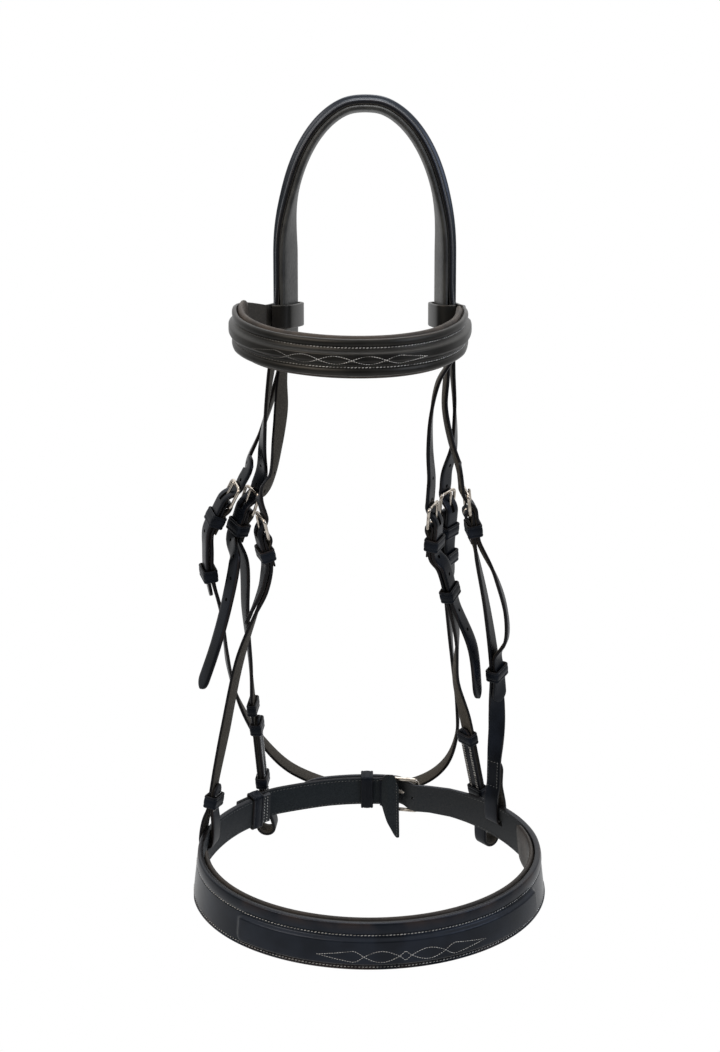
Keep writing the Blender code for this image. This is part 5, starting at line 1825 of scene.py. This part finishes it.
@dataclass
class Noseband:
    """Raised cavesson with its tapered billet, padding, jaw strap, buckle, guard tab and keepers."""

    finishes: Finishes
    ring: NoseRing = NOSE
    face: RaisedFace = RaisedFace(
        centre=-0.0036, half=0.0112, raised=0.0027, shoulder=0.0030, rows_at=(0.0086, -0.0157))
    end_angle: float = 142
    pad_angle: float = 100
    pad_thick: float = 0.0045
    pad_over: float = 0.0012
    strap_width: float = 0.0254
    wire: float = 0.0015
    tongue_wire: float = 0.0012
    reach: float = 0.0200
    heel_angle: float = 171.5
    strap_thick: float = 0.0028
    sections: int = 470         # of the band, from its off end to its billet
    billet_from: float = 22     # degrees before the heel bar where the billet starts
    thin_over: float = 24       # degrees in which the band thins to the billet
    in_use: int = 5             # which knot of the billet lies at the tongue's hole
    tail_turns: tuple[float, ...] = (4.5, 9, 14, 19, 24)
    fold_turn: float = 4.5
    point_length: float = 0.022
    guard_height: float = 0.060
    guard_thick: float = 0.0022
    guard_shares: Table = ((-2.8, 0.03, 0.86), (-2.0, -0.07, 0.87), (-1.0, -0.14, 0.83), (0.4, -0.15, 0.72),
                           (1.9, -0.14, 0.60), (3.0, -0.08, 0.48), (3.7, 0.02, 0.38))
    keeper_turn: float = 9
    loop_turn: float = 6
    slot_half: tuple[float, float] = (0.0078, 0.0026)

    def __post_init__(self) -> None:
        """Work out the heights of the layers at the jaw buckle."""
        ring, gap = self.ring, STOCK.gap
        heel = ring.station(self.heel_angle, ring.rear_width, ring.thick)
        toe = ring.station(self.heel_angle - 8, ring.rear_width, ring.thick)
        self.seat = Seat(heel.point, toe.point - heel.point, heel.out)
        self.turn = self.wire + gap + STOCK.skived / 2
        self.curl = self.wire + gap + self.tongue_wire
        self.over = self.curl + self.tongue_wire + gap + self.strap_thick / 2
        self.behind = -(self.wire + gap + self.strap_thick / 2)
        self.main = self.turn + STOCK.skived / 2 - self.strap_thick / 2
        self.lap = ring.thick / 2 + gap + self.strap_thick / 2
        self.buckle = Buckle(self.seat, self.finishes, self.reach, self.strap_width, self.wire, self.tongue_wire)

    def on_ring(self, degrees: float, out_by: float, thick: float, inward: bool = False) -> Knot:
        """Knot of a jaw strap that follows the ring."""
        s = self.ring.station(degrees, self.strap_width, thick, out_by=out_by)
        return Knot(s.point, -s.out if inward else s.out, self.strap_width, thick)

    def build_band(self) -> None:
        """Make the raised face with its billet, slots and punched holes."""
        ring, thick = self.ring, self.strap_thick
        stop = self.heel_angle - self.billet_from
        stations, levels = [], []
        for k in range(self.sections + 1):
            degrees = -self.end_angle + (stop + self.end_angle) * k / self.sections
            thin = smooth_share((degrees - stop + self.thin_over) / self.thin_over)
            inward = (thick / 2 + self.behind) * 0.5 * thin
            stations.append(ring.station(degrees, ring.height(degrees), ring.thick + (thick - ring.thick) * thin,
                                         out_by=inward))
            levels.append(ring.level(degrees))
        knots = through_buckle(self.seat, JAW_THROUGH, self.reach, self.behind, self.over, thick, self.strap_width)
        knots += [self.on_ring(self.heel_angle + degrees, self.over, thick) for degrees in self.tail_turns]
        billet = Route(tip(knots, self.point_length), FINE)
        across = stations[-1].across
        stations += [s if s.across.dot(across) > 0 else replace(s, across=-s.across) for s in billet.stations]
        levels += [FLAT] * len(billet.stations)
        wide, high = self.slot_half
        slots = [ring.slot(sign).box((-wide, -high, -STOCK.overrun), (wide, high, STOCK.overrun)) for sign in (1, -1)]
        cutters = [self.buckle.tongue_slot()] + slots + punch_row(billet, billet.marks[self.in_use], (2, 2))
        make_piece("noseband", sweep(stations, self.face.outline, levels=levels), self.finishes.raised, cutters)

    def build_padding(self) -> None:
        """Make the padding behind the raised part."""
        ring, back = self.ring, -(self.ring.thick / 2 + STOCK.gap + self.pad_thick / 2)
        stations, count, ends = [], 200, 5      # sections, and those in which each end fills out
        for k in range(count + 1):
            degrees = ring.turn - self.pad_angle + 2 * self.pad_angle * k / count
            s = ring.station(degrees, ring.height(degrees), self.pad_thick, out_by=back)
            full = filled(min(k, count - k) / ends)
            stations.append(replace(s, width=(s.width + self.pad_over * 2) * full ** 0.2, thick=s.thick * full))
        piece = make_piece("noseband_padding", sweep(stations, pad_outline), self.finishes.noseband_lining)

    def build_jaw(self) -> None:
        """Make the jaw strap, its buckle, the guard tab and the two keepers."""
        ring, seat, thick, heel = self.ring, self.seat, self.strap_thick, self.heel_angle
        self.buckle.build("jaw_buckle", "jaw_tongue")
        knots = [self.on_ring(inside - self.end_angle, self.lap, thick) for inside in (14, 7, -2)]
        knots.append(self.on_ring(-self.end_angle - 11, self.main * 1.1, thick))
        knots += [self.on_ring(heel + d, self.main, thick) for d in reversed(self.tail_turns)]
        knots.append(seat.knot(-self.reach * 0.2, self.turn, STOCK.skived, self.strap_width))
        knots += turned(seat, self.turn, self.strap_width)
        knots.append(seat.knot(-self.reach * 0.2, -self.turn * 0.95, STOCK.skived, self.strap_width, -seat.out))
        fold = self.main - thick / 2 - STOCK.gap - STOCK.fold / 2
        knots += [self.on_ring(heel + self.fold_turn * share, fold, STOCK.fold, inward=True) for share in (0.7, 1.0)]
        self.jaw_route = Route(knots, FINE)
        make_piece("jaw_strap", sweep(self.jaw_route.stations), self.finishes.lined, [self.buckle.crew_hole()])
        root = fold - STOCK.fold / 2 - STOCK.gap * 2 - self.guard_thick / 2
        self.guard = self.guard_stations(root, -(self.curl + self.tongue_wire + STOCK.gap + self.guard_thick / 2))
        make_piece("jaw_guard", sweep(self.guard), self.finishes.lined)
        Keeper(ring.seat(heel + self.keeper_turn), self.main - thick / 2, self.over + thick / 2,
               width=self.strap_width, slack=STOCK.running_slack).build("jaw_keeper", self.finishes)
        Keeper(ring.seat(-self.end_angle + self.loop_turn), -ring.thick / 2, self.lap + thick / 2,
               width=ring.rear_width + STOCK.gap * 2).build("jaw_end_loop", self.finishes)

    def guard_stations(self, root: float, face_out: float) -> list[Station]:
        """Sections of the guard tab, eased between the outline's own points.

        Args:
            root: Height of the end that is sewn in.
            face_out: Height behind the tongue.

        Returns:
            The stations.
        """
        final = self.guard_shares[-1][0]
        points = [Vector(row) for row in self.guard_shares]
        stations = []
        for i in range(len(points) - 1):
            before = points[i - 1] if i else points[i] * 2 - points[i + 1]
            after = points[i + 2] if i + 2 < len(points) else points[i + 1] * 2 - points[i]
            for k in range(4 if i < len(points) - 2 else 5):
                degrees, top, bottom = catmull(before, points[i], points[i + 1], after, k / 4)
                level = face_out + (root - face_out) * smooth_share((degrees - final / 3) / (final * 2 / 3))
                stations.append(self.ring.station(
                    self.heel_angle + degrees, (bottom - top) * self.guard_height, self.guard_thick,
                    down=(bottom + top) / 2 * self.guard_height, out_by=level))
        return stations

    def build(self) -> None:
        """Make every piece in order."""
        self.build_band()
        self.build_padding()
        self.build_jaw()


@dataclass
class Browband:
    """Raised browband whose ends are turned into loops round the crown, and its padding."""

    crown: Crown
    finishes: Finishes
    face: RaisedFace = RaisedFace(
        centre=0.0, half=0.0053, raised=0.0029, shoulder=0.0034, rows_at=(0.0063, -0.0063), margin_roll=0.0009)
    drop: float = 0.1395
    slope_share: float = 0.165
    loop_width: float = 0.0165
    width: float = 0.0240
    thick: float = 0.0024
    pad_width: float = 0.0275
    pad_thick: float = 0.0052
    slack: float = 0.0009
    step: float = 0.0016        # spacing of the band's cross-sections
    fade: float = 0.006         # stretch at each end in which the rolls rise
    pad_start: float = 0.005    # from the band's end to the padding's
    pad_fill: float = 0.009     # stretch in which the padding fills out
    shares: Table = ((-0.825, -0.34), (-0.875, -0.56), (-0.83, -0.84), (-0.65, -1.08), (-0.36, -1.24),
                     (-0.08, -1.30), (0.21, -1.26), (0.46, -1.10), (0.615, -0.86), (0.67, -0.60), (0.675, -0.37))
    lift_shares: tuple[float, ...] = (0.14, 0.18, 0.10, 0.03, 0, 0, 0, 0, 0.02, 0.04, 0.04)

    @property
    def half_deep(self) -> float:
        """From the middle of a loop to its leather's middle, fore and aft."""
        return self.crown.lining_widths[1] / 2 + self.slack + self.thick / 2

    def loop_knots(self, side: Side) -> list[Knot]:
        """Knots of the loop round the crown's leg on one side.

        Args:
            side: The side.

        Returns:
            The knots, from the loop's end to the band.
        """
        deep, half = self.half_deep, self.crown.stack / 2 + self.slack + self.thick / 2
        corner = half * 0.45
        line, sign = self.crown.line(1), 1 if side is Side.NEAR else -1
        middle, out = (line[-1] if side is Side.NEAR else line[0])[:2]
        front = Vector((out.y, -out.x, 0)) * sign
        base = Vector((middle.x, middle.y, -self.drop))
        plan = [(deep, half * 0.35, (1, 0)), (deep, -half + corner, (1, 0)), (deep - corner, -half, (0, -1)),
                (-deep + corner, -half, (0, -1)), (-deep, -half + corner, (-1, 0)), (-deep, half - corner, (-1, 0)),
                (-deep + corner, half, (0, 1)), (deep - corner, half, (0, 1)), (deep, half + self.thick / 4, (0.2, 1))]
        return [Knot(base + front * forward + out * outward, (front * face[0] + out * face[1]).normalized(),
                     self.loop_width, self.thick) for forward, outward, face in plan]

    def band_knots(self) -> list[Knot]:
        """Knots of the part across the forehead.

        Returns:
            The knots.
        """
        last = len(self.shares) - 1
        band = []
        for i, (x_share, y_share) in enumerate(self.shares):
            x, y = x_share * STOCK.spread, y_share * STOCK.spread
            ahead, behind = self.shares[min(i + 1, last)], self.shares[max(i - 1, 0)]
            out = Vector((ahead[1] - behind[1], -(ahead[0] - behind[0]), 0)).normalized()
            width = self.width if 0 < i < last else (self.width + self.loop_width) / 2
            height = -self.drop + self.slope_share * (y + self.half_deep) + self.lift_shares[i] * self.width
            band.append(Knot(Vector((x, y, height)), out, width, self.thick))
        return band

    def build(self) -> None:
        """Make the band and its padding."""
        off_loop = self.loop_knots(Side.OFF)
        route = Route(off_loop + self.band_knots() + self.loop_knots(Side.NEAR)[::-1], self.step)
        self.stations = route.stations
        self.first, self.final = (route.marks[len(off_loop) + k] for k in (0, len(self.shares) - 1))
        self.length = [0.0]
        for a, b in zip(self.stations, self.stations[1:]):
            self.length.append(self.length[-1] + (b.point - a.point).length)
        into = [min(far - self.length[self.first], self.length[self.final] - far) for far in self.length]
        self.levels = [Level(smooth_share(far / self.fade), far) for far in into]
        make_piece("browband", sweep(self.stations, self.face.outline, levels=self.levels), self.finishes.brow)
        back = -(self.thick / 2 + STOCK.gap + self.pad_thick / 2)
        pad = []
        for s, far in zip(self.stations, into):
            if far >= self.pad_start:
                full = filled((far - self.pad_start) / self.pad_fill)
                pad.append(replace(s, point=s.point + s.out * back, width=self.pad_width * full ** 0.3,
                                   thick=self.pad_thick * full))
        piece = make_piece("browband_padding", sweep(pad, pad_outline), self.finishes.lining)


# sewing


@dataclass
class Sewing:
    """Stitch rows of one body, sewn by Geometry Nodes: each row is a guide line that the stitches follow."""

    name: str
    node: str                   # any node of the body that the thread rides with
    thread: bpy.types.Material
    pitch: float = 0.0027
    length: float = 0.0021
    thick: float = 0.00062
    slant: float = 11           # degrees that the awl's cut turns each stitch
    seed: int = 3
    shown: float = 0.12         # how far a stitch's middle stands out of the leather, as a share of its thickness
    lines: list[list[tuple[Vector, Vector]]] = field(default_factory=list)

    def row(self, points: Sequence[tuple[Vector, Vector]]) -> None:
        """Add a row of places on the leather, each with the way the leather faces."""
        self.lines.append([(point + out * self.thick * self.shown, out) for point, out in points])

    def row_on(self, seat: Seat, places: Sequence[tuple[float, float]], height: float) -> None:
        """Add a row on one face of a flat piece.

        Args:
            seat: Axes of the piece.
            places: Across and up.
            height: Height of the face; below 0 it faces the horse.
        """
        facing_out = seat.out if height > 0 else -seat.out
        self.row([(seat.at(across, up, height), facing_out) for across, up in places])

    def guides(self) -> bpy.types.Object:
        """Mesh of the guide lines, with the leather's facing as an attribute.

        Returns:
            The object.
        """
        edges, start = [], 0
        for line in self.lines:
            edges += [(start + i, start + i + 1) for i in range(len(line) - 1)]
            start += len(line)
        mesh = bpy.data.meshes.new(self.name)
        mesh.from_pydata([tuple(point) for line in self.lines for point, _ in line], edges, [])
        lie = mesh.attributes.new("lie", "FLOAT_VECTOR", "POINT")
        for i, out in enumerate(out for line in self.lines for _, out in line):
            lie.data[i].vector = out
        return put(f"{self.name}_guides", mesh)

    def tree(self) -> bpy.types.NodeTree:
        """Node tree that lays one stitch at every pitch of each guide.

        Returns:
            The tree.
        """
        tree = bpy.data.node_groups.new(f"{self.name}_sewing", "GeometryNodeTree")
        for title, kind in (("Guides", "Geometry"), ("Pitch", "Float"), ("Length", "Float"), ("Thickness", "Float"),
                            ("Slant", "Float"), ("Seed", "Int"), ("Thread", "Material")):
            tree.interface.new_socket(name=title, in_out="INPUT", socket_type=f"NodeSocket{kind}")
        tree.interface.new_socket(name="Stitches", in_out="OUTPUT", socket_type="NodeSocketGeometry")
        n = Nodes(tree)
        out, given = n.out, n.add("NodeGroupInput", {}).outputs
        curve = out("GeometryNodeMeshToCurve", {"Mesh": given["Guides"]})
        spots = out("GeometryNodeResampleCurve", {"Curve": curve, "Length": given["Pitch"]}, mode="LENGTH")
        grain = out("GeometryNodeMeshUVSphere", {"Segments": 7, "Rings": 5, "Radius": 0.5}, "Mesh")
        size = out("ShaderNodeCombineXYZ", {"X": given["Length"], "Y": given["Thickness"], "Z": given["Thickness"]})
        stitch = out("GeometryNodeTransform", {"Geometry": grain, "Scale": size})
        lie = out("GeometryNodeInputNamedAttribute", {"Name": "lie"}, data_type="FLOAT_VECTOR")
        along = out("FunctionNodeAlignRotationToVector", {"Vector": out("GeometryNodeInputTangent", {})}, axis="X")
        flat = out("FunctionNodeAlignRotationToVector", {"Rotation": along, "Vector": lie}, axis="Z", pivot_axis="X")
        shake = out("FunctionNodeRandomValue", {2: -0.07, 3: 0.07, "Seed": given["Seed"]}, 1, data_type="FLOAT")
        lean = out("ShaderNodeMath", {0: given["Slant"], 1: shake}, operation="ADD")
        turn = out("FunctionNodeEulerToRotation", {0: out("ShaderNodeCombineXYZ", {"Z": lean})})
        laid = out("FunctionNodeRotateRotation", {"Rotation": flat, "Rotate By": turn}, rotation_space="LOCAL")
        vary = out("FunctionNodeRandomValue", {2: 0.88, 3: 1.10, "Seed": given["Seed"]}, 1, data_type="FLOAT")
        placed = {"Points": spots, "Instance": stitch, "Rotation": laid, "Scale": vary}
        real = out("GeometryNodeRealizeInstances", {"Geometry": out("GeometryNodeInstanceOnPoints", placed)})
        done = out("GeometryNodeSetMaterial", {"Geometry": real, "Material": given["Thread"]})
        n.add("NodeGroupOutput", {0: done})
        return tree

    def build(self) -> None:
        """Sew the rows, keep the result as one plain mesh and let it ride with its body."""
        guides = self.guides()
        modifier = guides.modifiers.new("sewing", "NODES")
        modifier.node_group = self.tree()
        values = {"Pitch": self.pitch, "Length": self.length, "Thickness": self.thick, "Slant": radians(self.slant),
                  "Seed": self.seed, "Thread": self.thread}
        for socket in modifier.node_group.interface.items_tree:
            if socket.in_out == "INPUT" and socket.name in values:
                modifier[socket.identifier] = values[socket.name]
        mesh = baked(guides)
        mesh.shade_smooth()
        item = put(self.name, mesh)
        bpy.data.objects.remove(guides, do_unlink=True)
        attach(item, NODE_BODY[self.node])
        LOG.info("%s: %d rows, %d faces", self.name, len(self.lines), len(mesh.polygons))


@dataclass
class FancyPattern:
    """Traditional fancy stitching: two lines that cross into a row of leaves and end in two points."""

    centre: float               # middle of the pattern across the band
    half_leaf: float            # half height of a leaf
    crossings: tuple[float, ...]    # where the lines cross, out from the pattern's middle
    tip_at: float               # where the lines end, out from the middle
    belly: float                # how far past the last crossing the end leaf is fullest
    diamond: bool = False       # whether the middle leaf is a small diamond with straight sides

    def spread(self, along: float) -> float:
        """How far each line lies from the pattern's centre line.

        Args:
            along: Place along the pattern, from its middle.

        Returns:
            The distance.
        """
        away = abs(along)
        if away < self.crossings[0]:
            share = away / self.crossings[0]
            return self.half_leaf * ((1 - share) * 0.85 if self.diamond else cos(share * pi / 2))
        for inner, outer in zip(self.crossings, self.crossings[1:]):
            if away < outer:
                return self.half_leaf * sin(pi * (away - inner) / (outer - inner))
        past = away - self.crossings[-1]
        if past < self.belly:
            return self.half_leaf * sin(pi / 2 * past / self.belly)
        return self.half_leaf * (1 - (past - self.belly) / (self.tip_at - self.crossings[-1] - self.belly))

    def lines(self, step: float) -> list[list[tuple[float, float]]]:
        """The two lines as places along and across the band.

        Args:
            step: Spacing of the places.

        Returns:
            Both lines, crossing over at each crossing.
        """
        count = ceil(self.tip_at / step)
        marks = sorted({self.tip_at * k / count for k in range(count + 1)} | set(self.crossings))
        places = [-m for m in reversed(marks[1:])] + marks
        swaps = sorted([-c for c in self.crossings] + list(self.crossings))
        both = []
        for sign in (1, -1):
            line = []
            for along in places:
                flips = sum(1 for c in swaps if along > c)
                line.append((along, self.centre + sign * (-1) ** flips * self.spread(along)))
            both.append(line)
        return both


def steps(low: float, high: float, count: int) -> list[float]:
    """Evenly spaced values from low to high, count steps apart."""
    return [low + (high - low) * k / count for k in range(count + 1)]


@dataclass
class Thread:
    """All the sewing of the bridle."""

    finishes: Finishes
    headstall: Headstall
    noseband: Noseband
    browband: Browband
    inset: float = 0.0019       # from a strap's edge to its row
    apart: float = 0.0013       # between the two rows of a bit end
    face_ends: float = 100      # degrees to which the rows of the noseband's face run, from its middle
    loop_rows: tuple[float, float] = (-3.3, -4.6)       # rows beside the loop at the band's end, from the loop
    lined: tuple[tuple[int, int], ...] = ((-134, -96), (120, 146))      # lined stretches of the band
    guard_row: int = 4          # section of the guard tab that its row runs down
    brow_middle: float = -0.0184        # where the browband's pattern has its middle

    @property
    def side_row(self) -> float:
        """Place of a row across a strap."""
        return STOCK.width / 2 - self.inset

    def build(self) -> None:
        """Sew the bands, then the straps."""
        self.sew_noseband()
        self.sew_noseband_lining()
        self.sew_noseband_pattern()
        self.sew_browband()
        self.sew_straps()

    def on_noseband(self, degrees: float, across: float) -> tuple[Vector, Vector]:
        """Place on the noseband's face, with the way it faces."""
        ring, s = self.noseband.ring, self.noseband.ring.wall(degrees)
        return s.at(across, ring.thick / 2 + self.noseband.face.height(across, s.width / 2, ring.level(degrees))), s.out

    def sew_noseband(self) -> None:
        """Rows along both grooves, and those beside the loop at the band's end."""
        band, ring = self.noseband, self.noseband.ring
        sewing = Sewing("noseband_stitching", "noseband", self.finishes.thread, pitch=0.0025, length=0.0019,
                        thick=0.00058)
        for across in band.face.rows_at:
            places = steps(ring.turn - self.face_ends, ring.turn + self.face_ends, 200)
            sewing.row([self.on_noseband(d, across * ring.height(d) / ring.width) for d in places])
        half = ring.rear_width / 2 - self.inset
        for turn in self.loop_rows:
            s = ring.station(-band.end_angle + band.loop_turn + turn, ring.rear_width, ring.thick)
            sewing.row([(s.at(across, -s.thick / 2), -s.out) for across in steps(-half, half, 12)])
        sewing.build()

    def sew_noseband_lining(self) -> None:
        """Rows on the side that lies on the horse: the guard tab, the jaw strap and the lined stretches."""
        band, ring, route = self.noseband, self.noseband.ring, self.noseband.jaw_route
        sewing = Sewing("noseband_lining_stitching", "noseband", self.finishes.dull_thread, length=0.0019, thick=0.0005)
        s = band.guard[self.guard_row]
        sewing.row([(s.at(across, -s.thick / 2), -s.out) for across in steps(s.width * 0.46, s.width * -0.44, 12)])
        stretches = [route.stations[route.marks[1]:route.marks[8]]]
        stretches += [[ring.wall(d) for d in range(*span)] for span in self.lined]
        for stretch in stretches:
            for side in (1, -1):
                sewing.row([(s.at(side * (s.width / 2 - self.inset), -s.thick / 2), -s.out) for s in stretch])
        sewing.build()

    def sew_noseband_pattern(self) -> None:
        """The fancy pattern on the panel, its places along the band in degrees."""
        sewing = Sewing("noseband_fancy_stitching", "noseband", self.finishes.thread, pitch=0.0018, length=0.0015,
                        thick=0.00040, slant=0, seed=5)
        pattern = FancyPattern(centre=-0.0062, half_leaf=0.0042, crossings=(1.9, 13.0), tip_at=27.5, belly=3.6,
                               diamond=True)
        for line in pattern.lines(0.4):
            sewing.row([self.on_noseband(self.noseband.ring.turn + along, across) for along, across in line])
        sewing.build()

    def on_browband(self, index: int, across: float) -> tuple[Vector, Vector]:
        """Place on the browband's face at one of its stations, with the way it faces."""
        band, s = self.browband, self.browband.stations[index]
        return s.at(across, s.thick / 2 + band.face.height(across, s.width / 2, band.levels[index])), s.out

    def sew_browband(self) -> None:
        """Rows along both grooves and the chain of leaves on the roll."""
        band = self.browband
        inside = range(band.first + 2, band.final - 1)
        sewing = Sewing("browband_stitching", "browband", self.finishes.brow_thread, pitch=0.0023, length=0.0017,
                        thick=0.00056)
        for across in band.face.rows_at:
            sewing.row([self.on_browband(i, across) for i in inside])
        sewing.build()
        fancy = Sewing("browband_fancy_stitching", "browband", self.finishes.brow_thread, pitch=0.0017, length=0.0013,
                       thick=0.00042, slant=0, seed=8)
        middle = band.length[min(inside, key=lambda i: abs(band.stations[i].point.x - self.brow_middle))]
        pattern = FancyPattern(centre=-0.0016, half_leaf=0.0026, crossings=(0.0105, 0.0315), tip_at=0.0585, belly=0.010)
        for line in pattern.lines(0.0008):
            points = []
            for target, across in ((middle + along, across) for along, across in line):
                index = min(inside, key=lambda i: abs(band.length[i] - target))
                other = index + (1 if band.length[index] < target else -1)
                share = (target - band.length[index]) / (band.length[other] - band.length[index])
                (a, face), (b, _) = self.on_browband(index, across), self.on_browband(other, across)
                points.append((a.lerp(b, share), face))
            fancy.row(points)
        fancy.build()

    def sew_straps(self) -> None:
        """Rows on the bit ends, the hangers' doubled ends and every turned end at a buckle."""
        bright = Sewing("strap_stitching", "crown_strap", self.finishes.thread, pitch=0.0023, length=0.0018,
                        thick=0.00060)
        faint = Sewing("near_hanger_stitching", "crown_strap", self.finishes.dull_thread, pitch=0.0023, length=0.0017)
        edge = self.side_row
        for piece in self.headstall.cheeks:
            ups = steps(piece.loop_rise * 1.05, piece.end_length * 0.78, 12)
            for height in (piece.outer, -piece.outer):
                for across in (edge, edge - self.apart, self.apart - edge, -edge):
                    bright.row_on(piece.end, [(across, up) for up in ups], height)
                bright.row_on(piece.end, [(across, ups[0]) for across in steps(-edge, edge, 6)], height)
        sewn = steps(-STOCK.fold_length * 0.42, -STOCK.fold_length * 0.97, 6)
        for seat in self.headstall.seats.values():
            for across in (edge, -edge):
                bright.row_on(seat, [(across, up) for up in sewn], STOCK.fold_out - STOCK.fold / 2)
        for hanger in self.headstall.hangers:
            sewing = bright if hanger.side is Side.OFF else faint
            low = hanger.top * 0.16
            for height, high in ((hanger.outer, hanger.top * 0.62), (-hanger.outer, hanger.top * 0.44)):
                for across in (edge, -edge):
                    sewing.row_on(hanger.above, [(across, up) for up in steps(low, high, 8)], height)
                for up in (low, high):
                    sewing.row_on(hanger.above, [(across, up) for across in steps(-edge, edge, 6)], height)
        faint.build()
        bright.build()


# studio


@dataclass
class Studio:
    """White studio: camera at the photograph's angle, a pale floor below and soft lamps."""

    lamps: tuple[tuple, ...] = (        # name, place, side in metres, watts and colour
        ("key_softbox", (-1.3, -1.5, 1.0), 1.1, 26, "#fff1e2"),
        ("fill_softbox", (1.5, -1.1, 0.5), 1.0, 14, "#e4edff"),
        ("top_softbox", (0.1, 0.3, 1.5), 1.2, 18, "#ffffff"))
    aim: tuple[float, float, float] = (0, 0, -0.3)      # what the lamps face
    camera_at: tuple[float, float, float] = (-0.0036, -1.407, -0.0417)
    camera_pitch: float = 80
    lens_mm: float = 68.44
    floor_at: float = -0.92     # height of the floor
    floor_fade_mm: tuple[float, float] = (220, 450)     # out from its middle, where the floor turns white

    def build(self) -> None:
        """Make the world, the floor, the lamps and the camera."""
        scene = bpy.context.scene
        scene.view_settings.view_transform = "Standard"
        self.build_world(scene)
        self.build_floor()
        for lamp in self.lamps:
            self.add_lamp(*lamp)
        camera = bpy.data.cameras.new("camera")
        camera.sensor_fit = "VERTICAL"
        camera.sensor_height = 36
        camera.lens = self.lens_mm
        camera.clip_start = 0.01
        scene.camera = put("camera", camera)
        scene.camera.location = self.camera_at
        scene.camera.rotation_euler = (radians(self.camera_pitch), 0, 0)

    def build_world(self, scene: bpy.types.Scene) -> None:
        """White where the camera, glass or metal sees behind the object, softer light from in front.

        Args:
            scene: The scene.
        """
        scene.world = bpy.data.worlds.new("studio")
        scene.world.use_nodes = True
        scene.world.node_tree.nodes.clear()
        n = Nodes(scene.world.node_tree)
        path = n.add("ShaderNodeLightPath", {}).outputs
        spot = n.add("ShaderNodeSeparateXYZ", {0: n.out("ShaderNodeTexCoord", {}, "Generated")}).outputs
        back = n.ramp(spot["Y"], -0.5, 0.6, 0.22, 1.0, smooth=False)
        below = n.ramp(spot["Z"], -0.7, 0.2, 0.45, 1.0, smooth=False)
        above = n.ramp(spot["Z"], 0.25, 0.8, 0.0, 0.9, smooth=False)
        mirrored = n.math("MULTIPLY_ADD", back, below, above)
        seen = n.math("MAXIMUM", path["Is Camera Ray"], path["Is Transmission Ray"])
        plain = n.out("ShaderNodeMix", {0: path["Is Glossy Ray"], 2: 0.42, 3: mirrored})
        strength = n.out("ShaderNodeMix", {0: seen, 2: plain, 3: 1.0})
        light = n.out("ShaderNodeBackground", {"Color": (1, 1, 1, 1), "Strength": strength})
        n.add("ShaderNodeOutputWorld", {"Surface": light})

    def build_floor(self) -> None:
        """Pale floor below the bridle that fades into the white surround."""
        bpy.ops.mesh.primitive_circle_add(vertices=96, radius=2.4, fill_type="NGON", location=(0, 0, self.floor_at))
        floor = bpy.context.object
        floor.name = "floor"
        n = Finish("pale_floor")
        n.uniform(Base_Color=linear("#f0f0ee"), Roughness=0.85)
        rim = n.ramp(n.out("ShaderNodeVectorMath", {0: n.spot}, "Value", operation="LENGTH"), *self.floor_fade_mm)
        path = n.add("ShaderNodeLightPath", {}).outputs
        rays = n.math("MAXIMUM", n.math("MAXIMUM", path["Is Camera Ray"], path["Is Glossy Ray"]),
                      path["Is Transmission Ray"])
        white = n.out("ShaderNodeEmission", {"Color": (1, 1, 1, 1), "Strength": 1.0})
        blend = {0: n.math("MULTIPLY", rim, rays), 1: n.shader.outputs[0], 2: white}
        surface = n.tree.nodes["Material Output"].inputs["Surface"]
        n.tree.links.new(n.out("ShaderNodeMixShader", blend), surface)
        floor.data.materials.append(n.material)

    def add_lamp(self, name: str, spot: tuple[float, float, float], size: float, power: float, colour: str) -> None:
        """Add a square soft lamp that faces the bridle.

        Args:
            name: Name of the lamp.
            spot: Where it stands.
            size: Side of the square.
            power: Power in watts.
            colour: Colour of its light.
        """
        light = bpy.data.lights.new(name, "AREA")
        light.color = linear(colour)[:3]
        light.size = size
        light.energy = power
        item = put(name, light)
        item.location = spot
        item.rotation_euler = (Vector(self.aim) - Vector(spot)).to_track_quat("-Z", "Y").to_euler()


def main() -> None:
    """Build the bridle piece by piece and set it in the studio."""
    logging.basicConfig(level=logging.INFO, format="%(message)s")
    finishes = Finishes()
    crown = Crown(finishes)
    crown.build()
    browband = Browband(crown, finishes)
    browband.build()
    headstall = Headstall(crown, finishes)
    headstall.build()
    noseband = Noseband(finishes)
    noseband.build()
    Thread(finishes, headstall, noseband, browband).build()
    Studio().build()


if __name__ == "__main__":
    main()
